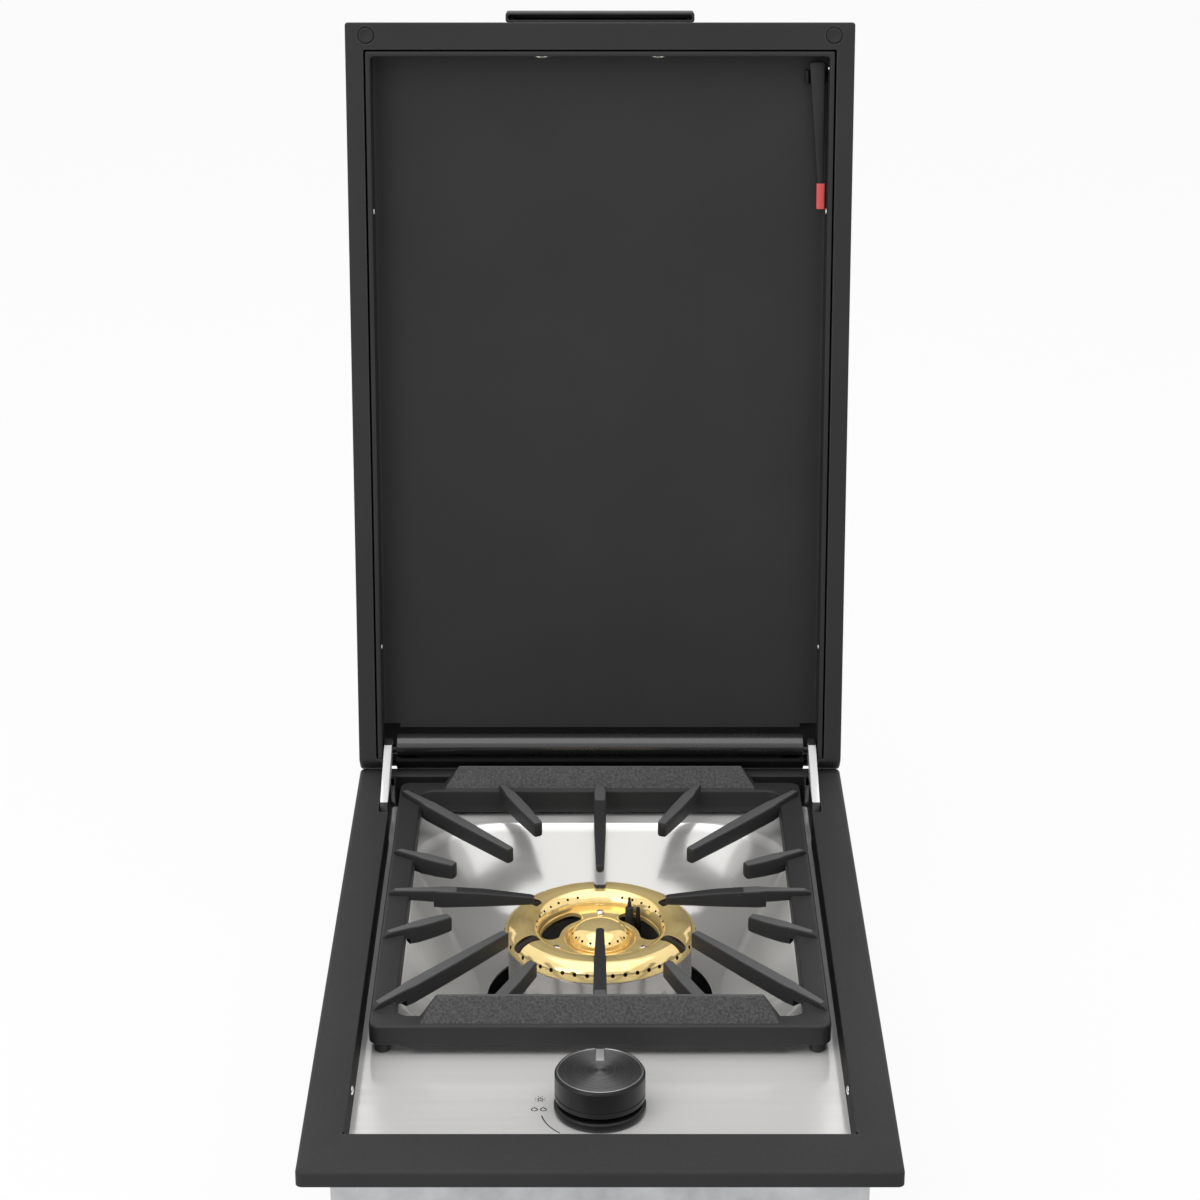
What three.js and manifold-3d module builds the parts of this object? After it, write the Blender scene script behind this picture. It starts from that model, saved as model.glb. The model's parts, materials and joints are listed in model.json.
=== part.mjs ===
// Built-in side burner: a drop-in gas burner under a hinged lid, for an outdoor kitchen counter.
// Millimetres, +Z up, +Y from the front edge to the hinge. The origin is the middle of the front
// flange, on the plane where the unit rests on the counter. The lid stands open at rest.
import * as THREE from 'three';
import { mergeVertices } from 'three/addons/utils/BufferGeometryUtils.js';
import Module from 'manifold-3d';

const wasm = await Module();
wasm.setup();

// Fits shared by all pieces
const restGap = 0.3;
const boltClearance = 0.3;
const overrun = 2;

// Trim frame
const frameWidth = 340;
const frameDepth = 525;
const flangeHeight = 10;
const frameSheet = 1.5;
const frameEdgeRound = 2.5;
const frameCornerRound = 1.5;
const sideBorder = 24;
const frontBorder = 40;
const rearBorder = 14;
const openingRound = 3;
const panelDrop = 24;
const skirtSheet = 0.8;
const notchWidth = 7;
const notchFromRear = 72;
const notchRound = 3;

// Burner box
const boxSheet = 1.2;
const boxDepth = 130;
const boxFrontRoom = 6;
const boxRearRoom = 2.2;
const ventCount = 6;
const ventLength = 34;
const ventHeight = 6;
const ventPitch = 48;
const ventDrop = 96;

// Cooktop panel
const panelSheet = 1;
const bowlSideMargin = 15;
const bowlRearMargin = 23.5;
const bowlBehindKnob = 82.5;
const bowlRound = 62;
const bowlDepth = 56;
const bowlHoleRadius = 75;
const railLeg = 20;
const railShelf = 14;
const railSheet = 1.2;
const railFrontInset = 5;
const railRearInset = 66;

// Gas burner
const ringRadius = 51.5;
const ringHalfWidth = 12;
const ringHalfHeight = 10;
const ringWall = 2.5;
const ringMidDrop = 32;
const ringLegAngle = 50;
const webDrop = 37.5;
const webThickness = 3;
const webHoleRadius = 10.5;
const windowInner = 27.5;
const windowOuter = 38.5;
const windowAngle = 60;
const windowAngles = [30, 150, 270];
const ringNotchWidth = 7.5;
const ringNotchReach = 6;
const ringNotchDepth = 7;
const capRadius = 20;
const capHeight = 11;
const capSkirt = 3;
const capStemLength = 7;
const cupRadius = 60.5;
const cupWall = 1.2;
const cupAboveVenturi = 5.3;
const cupInnerRadius = 43;
const cupCentreBore = 13;
const cupSeatDrop = 40;
const ringScrewCircle = 33;
const ringScrewHead = 3.2;
const ringScrewHeadHeight = 2.6;
const ringScrewShank = 1.6;
const ringScrewLength = 9;

// Gas way
const venturiAboveFloor = 22.8;
const simmerVenturiRadius = 12.7;
const mainVenturiRadius = 6.8;
const venturiWall = 1;
const venturiBend = 20;
const venturiReach = 127;
const mainVenturiOffset = 24;
const venturiSeat = 6;
const jetGap = 5;
const jetRadius = 5;
const jetLength = 14;
const jetHexLength = 6.3;
const jetShoulderLength = 7;
const jetNeckRadius = 3.5;
const jetTipRadius = 2.5;
const jetPlateSheet = 2;
const jetPlateWidth = 62;
const jetPlateHeight = 34;
const jetFoot = 16;
const gasTubeRadius = 3;
const bracketSheet = 1.5;
const bracketWidth = 40;
const bracketShelf = 16;
const burnerBracketOffset = 44;
const inletPipeRadius = 5;
const inletPipeBore = 3.5;
const inletPipeBend = 20;
const inletFromBoxSide = 27.8;
const inletDrop = 75;
const fittingHexRadius = 11;
const fittingHexLength = 13;
const fittingStubRadius = 7;
const fittingStubLength = 26;
const fittingBore = 3.5;

// Ignition
const electrodeCircle = 34;
const electrodeClock = 42;
const electrodeRadius = 2.8;
const electrodeTip = 0.9;
const electrodeTopDrop = 28;
const coupleClock = 57;
const coupleRadius = 2;
const coupleTopDrop = 31;
const probeBelowCup = 6;
const moduleWidth = 28;
const moduleDepth = 50;
const moduleHeight = 30;
const moduleFromFront = 60;
const moduleDrop = 82;
const leadRadius = 1.6;
const leadBend = 12;
const leadLane = 23;

// Control knob and valve
const knobFromFront = 105;
const knobRadius = 26.25;
const knobFaceRadius = 24.6;
const knobHeight = 18;
const knobFaceRise = 3;
const knobHubRadius = 11;
const knobHubLength = 3.5;
const bezelRadius = 26.5;
const bezelHeight = 6;
const bezelRound = 2;
const hubClearance = 1;
const pushTravel = 2.4;
const stemRadius = 3;
const pointerWidth = 5.2;
const pointerLength = 14;
const pointerDepth = 1.5;
const valveWidth = 30;
const valveDepth = 34;
const valveHeight = 34;
const valveTopDrop = 54;
const valveNeckRadius = 9;
const valveNeckHeight = 14;
const valveOutletSpacing = 18;
const retainerRadius = 7.5;
const retainerHeight = 1.5;
const retainerDrop = 28;
const springRadius = 5.6;
const springWire = 0.6;
const springTurns = 4;

// Grate
const grateSideGap = 7;
const grateOverBowl = 21;
const grateSideRail = 15.5;
const grateEndRail = 14;
const grateRound = 6;
const railTopDrop = 3.5;
const railHeight = 16.5;
const fingerRise = 4.5;
const fingerRootWidth = 9;
const fingerTipWidth = 5;
const fingerTipHeight = 11;
const fingerBury = 5;
const centreTipReach = 56;
const sideTipReach = 45;
const cornerTipX = 60;
const cornerTipY = 58;
const sideShortTipInset = 42.5;
const sideShortTipY = 36;
const endShortTipX = 42;
const endShortTipInset = 74;
const footRadius = 5;
const footInset = 8;
const blockSideInset = 28;
const blockSideSlope = 11.5;
const blockRise = 15;
const blockTopDepth = 3;

// Hinge
const openAngle = 97.7;
const pivotPastFrame = 2.3;
const pivotRise = 13.1;
const armThickness = 5.4;
const armHeadRadius = 8;
const armHeadStartAngle = -112;
const armSlotFromRear = 64;
const armLegWidth = 42;
const armLegDrop = 70;
const armLegStart = 8;
const pinRadius = 3;
const pinBore = 3.3;
const pinPlugRadius = 6;
const pinPlugLength = 14;
const pinHeadRadius = 4.6;
const pinHeadHeight = 0.9;
const hingeTubeRadius = 8;
const hingeTubeWall = 1.5;
const tubeEndGap = 3.4;
const armBoltRadius = 2.5;
const armBoltHead = 4.6;
const armBoltHeadHeight = 2.6;
const armNutHeight = 3.4;
const armBoltDrop = 52;
const armBoltSpacing = 24;

// Lid
const lidFrontMargin = 17;
const lidThickness = 34;
const lidSheet = 1.5;
const lidPastPivot = 9.7;
const lidSeatHeight = 2;
const lidRearRound = 6;
const lidEdgeRound = 3;
const rimSide = 12;
const rimFront = 19;
const rimReturn = 15;
const rimReturnSheet = 1.2;
const linerGap = 0.5;
const linerLip = 4;
const linerSheet = 1;
const linerRecess = 22;
const linerEndFromRear = 22.9;
const linerHem = 6;
const armCutInner = 142;
const armNotchRoom = 1.3;
const handleWidth = 126;
const handleReach = 10;
const handleHeight = 20;
const handleWall = 2;
const handleFromRim = 5;
const bumperRadius = 5.85;
const bumperRound = 0.6;
const bumperStem = 2.2;
const bumperSideInset = 14;
const bumperFrontInset = 9.5;
const bumperStemLength = 4;
const linerScrewHead = 2.6;
const linerScrewHeadHeight = 1.1;
const linerScrewShank = 1.3;
const linerScrewDepth = 8;
const lowScrewFromRear = 86;
const highScrewFromFront = 128;

// Lighting stick in the lid
const stickFromFront = 28;
const stickLength = 80;
const stickRootWidth = 10.5;
const stickTipWidth = 3.4;
const stickThickness = 3;
const stickDepthInLid = 12;
const stickSideRoom = 3.6;
const tipLength = 17.5;
const tipWidth = 5.5;
const tipThickness = 4;
const tipSocket = 6;
const clipLength = 9;
const clipSheet = 0.8;
const clipFromTop = 6;

// Skirt screws
const skirtScrewHead = 3;
const skirtScrewHeadHeight = 1.2;
const skirtScrewShank = 1.5;
const skirtScrewFromOpening = 52;
const skirtScrewDrop = 12;

// Facets of round work
const fineSteps = 32;
const roundSteps = 20;
const smallSteps = 10;
const tubeSides = 8;
const leadSides = 6;
const arcSteps = 3;
const bowlSteps = 36;
const domeSteps = 3;
const boltSteps = 12;
const bevelSteps = 3;
const ringOuterSteps = 9;
const ringInnerSteps = 5;
const venturiSides = 12;
const venturiSteps = 12;
const gasTubeSteps = 10;
const inletPipeSides = 10;
const inletPipeSteps = 14;
const leadSteps = 26;
const springSides = 5;
const springTurnSteps = 8;
const armHeadSteps = 8;

// Places worked out from the sizes above
const topZ = flangeHeight;
const frameFront = -frontBorder / 2;
const frameRear = frameFront + frameDepth;
const frameMidY = frameFront + frameDepth / 2;
const openingHalf = frameWidth / 2 - sideBorder;
const openingFront = frameFront + frontBorder;
const openingRear = frameRear - rearBorder;
const openingMidY = (openingFront + openingRear) / 2;
const panelZ = topZ - panelDrop;
const skirtHalf = openingHalf + skirtSheet;
const armInner = skirtHalf + restGap;
const armOuter = armInner + armThickness;
const boxInnerHalf = armOuter + restGap;
const boxOuterHalf = boxInnerHalf + boxSheet;
const boxInnerFront = openingFront - skirtSheet - boxFrontRoom;
const boxInnerRear = openingRear + skirtSheet + boxRearRoom;
const boxMidY = (boxInnerFront + boxInnerRear) / 2;
const boxInnerLength = boxInnerRear - boxInnerFront;
const boxFloorZ = boxSheet - boxDepth;
const inletPipeSide = boxInnerHalf - inletFromBoxSide;
const knobY = frameFront + knobFromFront;
const bowlFront = knobY + bowlBehindKnob;
const bowlRear = openingRear - bowlRearMargin;
const bowlWidth = 2 * (openingHalf - bowlSideMargin);
const bowlLength = bowlRear - bowlFront;
const burnerY = (bowlFront + bowlRear) / 2;
const grateWidth = 2 * (openingHalf - grateSideGap);
const grateDepth = bowlLength + 2 * grateOverBowl;
const cupTopZ = topZ - cupSeatDrop;
const venturiZ = boxFloorZ + venturiAboveFloor;
const cupFloorZ = venturiZ + simmerVenturiRadius + cupAboveVenturi;
const webTopZ = topZ - webDrop;
const knobFaceZ = topZ + knobFaceRise;
const knobFootZ = knobFaceZ - knobHeight;
const valveTopZ = topZ - valveTopDrop;
const valveNeckZ = valveTopZ + valveNeckHeight;
const retainerZ = topZ - retainerDrop;
const pivotY = frameRear + pivotPastFrame;
const pivotZ = topZ + pivotRise;
const venturiFrontY = burnerY - venturiReach;
const jetRearY = venturiFrontY - jetGap;
const jetFrontY = jetRearY - jetLength;
const jetPlateY = jetFrontY + jetLength / 2;
const probeBottomZ = cupFloorZ - probeBelowCup;

// Places in the closed lid, measured from the hinge axis
const rimZ = lidSeatHeight - pivotRise;
const lidTopZ = rimZ + lidThickness;
const lidFront = frameFront + lidFrontMargin - pivotY;
const lidHalf = frameWidth / 2;
const rimWindowHalf = lidHalf - rimSide;
const windowFront = lidFront + rimFront;
const windowRear = lidPastPivot - lidRearRound;
const linerHalf = rimWindowHalf - linerGap;
const linerInnerHalf = linerHalf - linerLip;
const linerFront = windowFront + linerGap;
const linerInnerFront = linerFront + linerLip;
const linerFaceZ = rimZ + linerRecess;
const linerEnd = lidPastPivot - linerEndFromRear;
const linerRear = lidPastPivot - lidSheet - restGap;
const tubeHalf = armInner - tubeEndGap;

// Shape helpers

function toSolid(geometry) {
  const bare = new THREE.BufferGeometry();
  bare.setAttribute('position', geometry.getAttribute('position').clone());
  bare.setIndex(geometry.index);
  const merged = mergeVertices(bare);
  const places = merged.getAttribute('position').array;
  const order = merged.index.array;
  const kept = [];
  for (let i = 0; i < order.length; i += 3) {
    const [a, b, c] = [order[i], order[i + 1], order[i + 2]];
    if (a !== b && b !== c && c !== a) {
      kept.push(a, b, c);
    }
  }
  if (signedVolume(places, kept) < 0) {
    kept.reverse();
  }
  const mesh = new wasm.Mesh({
    numProp: 3,
    vertProperties: new Float32Array(places),
    triVerts: new Uint32Array(kept),
  });
  return new wasm.Manifold(mesh);
}

function signedVolume(places, order) {
  const [a, b, c] = [new THREE.Vector3(), new THREE.Vector3(), new THREE.Vector3()];
  let sum = 0;
  for (let i = 0; i < order.length; i += 3) {
    a.fromArray(places, 3 * order[i]);
    b.fromArray(places, 3 * order[i + 1]);
    c.fromArray(places, 3 * order[i + 2]);
    sum += a.dot(b.cross(c));
  }
  return sum;
}

function toGeometry(solid) {
  const mesh = solid.getMesh();
  const geometry = new THREE.BufferGeometry();
  geometry.setAttribute('position', new THREE.BufferAttribute(mesh.vertProperties, 3));
  geometry.setIndex(new THREE.BufferAttribute(mesh.triVerts, 1));
  geometry.computeVertexNormals();
  return geometry;
}

// A box between two corners
function block(x0, x1, y0, y1, z0, z1) {
  const geometry = new THREE.BoxGeometry(x1 - x0, y1 - y0, z1 - z0);
  geometry.translate((x0 + x1) / 2, (y0 + y1) / 2, (z0 + z1) / 2);
  return toSolid(geometry);
}

// A solid with six faces, from four corners below and four above, both counter-clockwise
function sixFaces(lower, upper) {
  const geometry = new THREE.BufferGeometry();
  geometry.setAttribute('position', new THREE.Float32BufferAttribute([...lower, ...upper].flat(), 3));
  const order = [0, 2, 1, 0, 3, 2, 4, 5, 6, 4, 6, 7];
  for (let side = 0; side < 4; side += 1) {
    const next = (side + 1) % 4;
    order.push(side, next, next + 4, side, next + 4, side + 4);
  }
  geometry.setIndex(order);
  return toSolid(geometry);
}

function roundedRect(width, depth, radius) {
  const [w, d] = [width / 2, depth / 2];
  const r = Math.min(radius, w, d);
  const shape = new THREE.Shape();
  shape.moveTo(w, 0);
  shape.lineTo(w, d - r);
  shape.absarc(w - r, d - r, r, 0, Math.PI / 2);
  shape.lineTo(-w + r, d);
  shape.absarc(-w + r, d - r, r, Math.PI / 2, Math.PI);
  shape.lineTo(-w, -d + r);
  shape.absarc(-w + r, -d + r, r, Math.PI, 1.5 * Math.PI);
  shape.lineTo(w - r, -d);
  shape.absarc(w - r, -d + r, r, 1.5 * Math.PI, 2 * Math.PI);
  shape.closePath();
  return shape;
}

// An outline in the ground plane, raised from z0 to z1
function slab(shape, y, z0, z1) {
  const geometry = new THREE.ExtrudeGeometry(shape, {
    depth: z1 - z0,
    bevelEnabled: false,
    curveSegments: arcSteps,
  });
  geometry.translate(0, y, z0);
  return toSolid(geometry);
}

// An outline whose own x and y are the part's y and z, run from x0 to x1
function sideRun(shape, x0, x1, steps = arcSteps) {
  const geometry = new THREE.ExtrudeGeometry(shape, {
    depth: x1 - x0,
    bevelEnabled: false,
    curveSegments: steps,
  });
  const turn = new THREE.Matrix4().makeBasis(
    new THREE.Vector3(0, 1, 0),
    new THREE.Vector3(0, 0, 1),
    new THREE.Vector3(1, 0, 0),
  );
  geometry.applyMatrix4(turn);
  geometry.translate(x0, 0, 0);
  return toSolid(geometry);
}

// A closed outline of [radius, height] points turned about a vertical axis
function turned(outline, steps, x = 0, y = 0) {
  const points = outline.map(([radius, height]) => new THREE.Vector2(radius, height));
  const first = points[0];
  const last = points[points.length - 1];
  if (first.x > 0 || last.x > 0) {
    points.push(first.clone());
  }
  const geometry = new THREE.LatheGeometry(points, steps);
  geometry.rotateX(Math.PI / 2);
  geometry.translate(x, y, 0);
  return toSolid(geometry);
}

function rod(radius, x, y, z0, z1, steps = smallSteps) {
  return turned([[0, z0], [radius, z0], [radius, z1], [0, z1]], steps, x, y);
}

// The radius of a faceted hole whose flats lie on a given radius
function opened(radius, steps = smallSteps) {
  return radius / Math.cos(Math.PI / steps);
}

function crossRod(radius, x0, x1, y, z, steps = smallSteps) {
  return rod(radius, 0, 0, x0, x1, steps).rotate([0, 90, 0]).translate([0, y, z]);
}

function deepRod(radius, x, y0, y1, z, steps = smallSteps) {
  return rod(radius, 0, 0, -y1, -y0, steps).rotate([90, 0, 0]).translate([x, 0, z]);
}

// A round tube that follows a route; a bore of zero makes it solid
function pipe(route, radius, bore, sides, steps) {
  const section = new THREE.Shape();
  section.absarc(0, 0, radius, 0, 2 * Math.PI);
  if (bore > 0) {
    const hole = new THREE.Path();
    hole.absarc(0, 0, bore, 0, 2 * Math.PI);
    section.holes.push(hole);
  }
  const geometry = new THREE.ExtrudeGeometry(section, {
    steps,
    extrudePath: route,
    bevelEnabled: false,
    curveSegments: sides / 2,
  });
  return toSolid(geometry);
}

// A route of straight runs with rounded corners
function roundedRoute(corners, bend) {
  const route = new THREE.CurvePath();
  let start = corners[0];
  for (let i = 1; i < corners.length - 1; i += 1) {
    const [before, corner, after] = [corners[i - 1], corners[i], corners[i + 1]];
    const reach = Math.min(bend, before.distanceTo(corner) / 2, corner.distanceTo(after) / 2);
    const turnIn = corner.clone().add(before.clone().sub(corner).setLength(reach));
    const turnOut = corner.clone().add(after.clone().sub(corner).setLength(reach));
    route.add(new THREE.LineCurve3(start, turnIn));
    route.add(new THREE.QuadraticBezierCurve3(turnIn, corner, turnOut));
    start = turnOut;
  }
  route.add(new THREE.LineCurve3(start, corners[corners.length - 1]));
  return route;
}

// Points of a domed head from its rim to its crown, for a turned outline
function dome(radius, height, base) {
  const points = [];
  for (let i = 0; i <= domeSteps; i += 1) {
    const angle = (i / domeSteps) * (Math.PI / 2);
    points.push([i < domeSteps ? radius * Math.cos(angle) : 0, base + height * Math.sin(angle)]);
  }
  return points;
}

function join(solids) {
  return solids.reduce((sum, solid) => sum.add(solid));
}

function cut(solid, tools) {
  return tools.reduce((rest, tool) => rest.subtract(tool), solid);
}

function mirrored(solid) {
  return solid.mirror([1, 0, 0]);
}

function atClock(radius, degrees) {
  const angle = THREE.MathUtils.degToRad(90 - degrees);
  return [radius * Math.cos(angle), burnerY + radius * Math.sin(angle)];
}

// Materials
const paint = { color: 0x3f3f40, roughness: 0.55, metalness: 0.1 };
const linerPaint = { color: 0x303031, roughness: 0.6, metalness: 0.1 };
const steel = { color: 0xc9c7c4, roughness: 0.32, metalness: 1 };
const polished = { color: 0xe0e0e0, roughness: 0.12, metalness: 1 };
const zinc = { color: 0x9fa3a6, roughness: 0.45, metalness: 0.9 };
const brass = { color: 0xd8a63c, roughness: 0.15, metalness: 1 };
const castIron = { color: 0x454547, roughness: 0.6, metalness: 0.4 };
const knobMetal = { color: 0x333436, roughness: 0.35, metalness: 0.8 };
const blackRubber = { color: 0x1b1b1c, roughness: 0.85, metalness: 0 };
const blackPlastic = { color: 0x202022, roughness: 0.6, metalness: 0 };
const redPlastic = { color: 0xcc3f42, roughness: 0.5, metalness: 0 };
const alloy = { color: 0xb5b8ba, roughness: 0.45, metalness: 0.9 };
const copper = { color: 0xb87348, roughness: 0.35, metalness: 1 };

function piece(parent, name, solid, look) {
  const mesh = new THREE.Mesh(toGeometry(solid), new THREE.MeshStandardMaterial(look));
  mesh.name = name;
  parent.add(mesh);
  return mesh;
}

// Trim frame: a folded cover with a rounded edge and a skirt that drops to the cooktop panel
function trimFrame() {
  const inset = 2 * frameEdgeRound;
  const outline = roundedRect(frameWidth - inset, frameDepth - inset, frameCornerRound);
  const rounded = new THREE.ExtrudeGeometry(outline, {
    depth: flangeHeight - frameEdgeRound,
    bevelThickness: frameEdgeRound,
    bevelSize: frameEdgeRound,
    bevelSegments: bevelSteps,
    curveSegments: arcSteps,
  });
  rounded.translate(0, frameMidY, 0);
  const below = block(-frameWidth, frameWidth, frameFront - overrun, frameRear + overrun, -frameWidth, 0);
  const cover = toSolid(rounded).subtract(below);
  const wall = 2 * frameSheet;
  const hollowShape = roundedRect(frameWidth - wall, frameDepth - wall, frameCornerRound);
  const hollow = slab(hollowShape, frameMidY, -overrun, topZ - frameSheet);
  const opening = roundedRect(2 * openingHalf, openingRear - openingFront, openingRound);
  const openingCut = slab(opening, openingMidY, -overrun, topZ + overrun);
  const openingLength = openingRear - openingFront + 2 * skirtSheet;
  const skirtShape = roundedRect(2 * skirtHalf, openingLength, openingRound + skirtSheet);
  const skirtOuter = slab(skirtShape, openingMidY, panelZ + restGap, topZ - frameSheet / 2);
  const skirtInner = slab(opening, openingMidY, panelZ - overrun, topZ + overrun);
  const frame = cut(cover, [hollow, openingCut]).add(skirtOuter.subtract(skirtInner));
  const notchHalf = openingHalf + notchWidth;
  const notchFront = frameRear - notchFromRear;
  const notchShape = new THREE.Shape();
  notchShape.moveTo(openingHalf - overrun, notchFront);
  notchShape.lineTo(notchHalf - notchRound, notchFront);
  notchShape.absarc(notchHalf - notchRound, notchFront + notchRound, notchRound, -Math.PI / 2, 0);
  notchShape.lineTo(notchHalf, openingRear);
  notchShape.lineTo(openingHalf - overrun, openingRear);
  notchShape.closePath();
  const notch = slab(notchShape, 0, panelZ - overrun, topZ + overrun);
  const screwY = openingFront + skirtScrewFromOpening;
  const screwZ = topZ - skirtScrewDrop;
  const screwHole = opened(skirtScrewShank + boltClearance);
  const screwCut = crossRod(screwHole, -skirtHalf - overrun, skirtHalf + overrun, screwY, screwZ);
  return cut(frame, [notch, mirrored(notch), screwCut]);
}

// Burner box: a deep sheet tub with an outward flange that rests on the counter
function burnerBox() {
  const outerLength = boxInnerLength + 2 * boxSheet;
  const flangeWidth = frameWidth - 2 * (frameSheet + restGap);
  const flangeLength = frameDepth - 2 * (frameSheet + restGap);
  const flange = slab(roundedRect(flangeWidth, flangeLength, frameCornerRound), frameMidY, 0, boxSheet);
  const tub = slab(roundedRect(2 * boxOuterHalf, outerLength, boxSheet), boxMidY, -boxDepth, boxSheet);
  const room = roundedRect(2 * boxInnerHalf, boxInnerLength, boxSheet);
  const hollow = slab(room, boxMidY, boxFloorZ, boxSheet + overrun);
  const tools = [hollow];
  const ventZ = topZ - ventDrop;
  const ventSpan = (ventCount - 1) * ventPitch;
  for (let i = 0; i < ventCount; i += 1) {
    const y = boxMidY - ventSpan / 2 + i * ventPitch;
    const [y0, y1] = [y - ventLength / 2, y + ventLength / 2];
    const [z0, z1] = [ventZ - ventHeight / 2, ventZ + ventHeight / 2];
    tools.push(block(-boxOuterHalf - overrun, boxOuterHalf + overrun, y0, y1, z0, z1));
  }
  const boltHole = opened(armBoltRadius + boltClearance, boltSteps);
  for (const y of armBoltPlaces()) {
    const reach = boxOuterHalf + overrun;
    tools.push(crossRod(boltHole, -reach, reach, y, topZ - armBoltDrop, boltSteps));
  }
  const inletZ = topZ - inletDrop;
  const wallY = boxInnerRear;
  const inletHole = opened(fittingStubRadius + boltClearance, roundSteps);
  const [holeFront, holeRear] = [wallY - overrun, wallY + boxSheet + overrun];
  tools.push(deepRod(inletHole, -inletPipeSide, holeFront, holeRear, inletZ, roundSteps));
  return cut(flange.add(tub), tools);
}

function armBoltPlaces() {
  const mid = frameRear - armSlotFromRear + armLegWidth / 2;
  return [mid - armBoltSpacing / 2, mid + armBoltSpacing / 2];
}

// Cooktop panel: a flat sheet that falls into a bowl round the burner
function cooktopPanel() {
  const top = panelZ;
  const bottom = panelZ - panelSheet;
  const length = openingRear - openingFront + 2 * skirtSheet;
  const plate = slab(roundedRect(2 * skirtHalf, length, openingRound), openingMidY, bottom, top);
  const rim = roundedRect(bowlWidth, bowlLength, bowlRound);
  const rimOutline = new THREE.Shape(rim.getSpacedPoints(bowlSteps).slice(0, bowlSteps));
  const rimCut = slab(rimOutline, burnerY, bottom - overrun, top + overrun);
  const knobHole = opened(knobHubRadius + hubClearance, roundSteps);
  const stemCut = rod(knobHole, 0, knobY, bottom - overrun, top + overrun, roundSteps);
  const wideRim = roundedRect(bowlWidth + overrun, bowlLength + overrun, bowlRound + overrun / 2);
  const rimPoints = wideRim.getSpacedPoints(bowlSteps).slice(0, bowlSteps);
  const circle = [];
  for (let i = 0; i < bowlSteps; i += 1) {
    const angle = (2 * Math.PI * i) / bowlSteps;
    circle.push([bowlHoleRadius * Math.cos(angle), bowlHoleRadius * Math.sin(angle)]);
  }
  const spreadShares = [0, 0.05, 0.3, 0.6, 0.86, 1];
  const fallShares = [0, 0.02, 0.36, 0.72, 0.94, 1];
  const rings = spreadShares.map((spread, k) => rimPoints.map((point, i) => [
    point.x + (circle[i][0] - point.x) * spread,
    point.y + (circle[i][1] - point.y) * spread + burnerY,
    top - bowlDepth * fallShares[k],
  ]));
  return cut(plate, [rimCut, stemCut]).add(sheetThroughRings(rings, panelSheet));
}

// A sheet whose upper face runs through closed rings of points, from the outermost inwards
function sheetThroughRings(rings, thickness) {
  const count = rings[0].length;
  const lowered = rings.map((ring) => ring.map(([x, y, z]) => [x, y, z - thickness]));
  const layers = [...rings, ...lowered.reverse()];
  const order = [];
  for (let k = 0; k < layers.length; k += 1) {
    const next = (k + 1) % layers.length;
    for (let i = 0; i < count; i += 1) {
      const j = (i + 1) % count;
      const [a, b, c, d] = [k * count + i, k * count + j, next * count + j, next * count + i];
      order.push(a, b, c, a, c, d);
    }
  }
  const geometry = new THREE.BufferGeometry();
  geometry.setAttribute('position', new THREE.Float32BufferAttribute(layers.flat(2), 3));
  geometry.setIndex(order);
  return toSolid(geometry);
}

// Panel rail: an angle on the box wall that carries one long edge of the panel
function panelRail() {
  const topOfRail = panelZ - panelSheet - restGap;
  const outer = boxInnerHalf - restGap;
  const y0 = openingFront + railFrontInset;
  const y1 = openingRear - railRearInset;
  const shelf = block(outer - railShelf, outer, y0, y1, topOfRail - railSheet, topOfRail);
  const leg = block(outer - railSheet, outer, y0, y1, topOfRail - railLeg, topOfRail);
  return shelf.add(leg);
}

// Skirt screw: a round head inside the skirt, with its shank against the box wall
function skirtScrew() {
  const y = openingFront + skirtScrewFromOpening;
  const z = topZ - skirtScrewDrop;
  const seat = openingHalf - restGap;
  const outline = [
    ...dome(skirtScrewHead, -skirtScrewHeadHeight, seat).reverse(),
    [skirtScrewShank, seat],
    [skirtScrewShank, boxInnerHalf - restGap],
    [0, boxInnerHalf - restGap],
  ];
  return turned(outline, smallSteps).rotate([0, 90, 0]).translate([0, y, z]);
}

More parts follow.
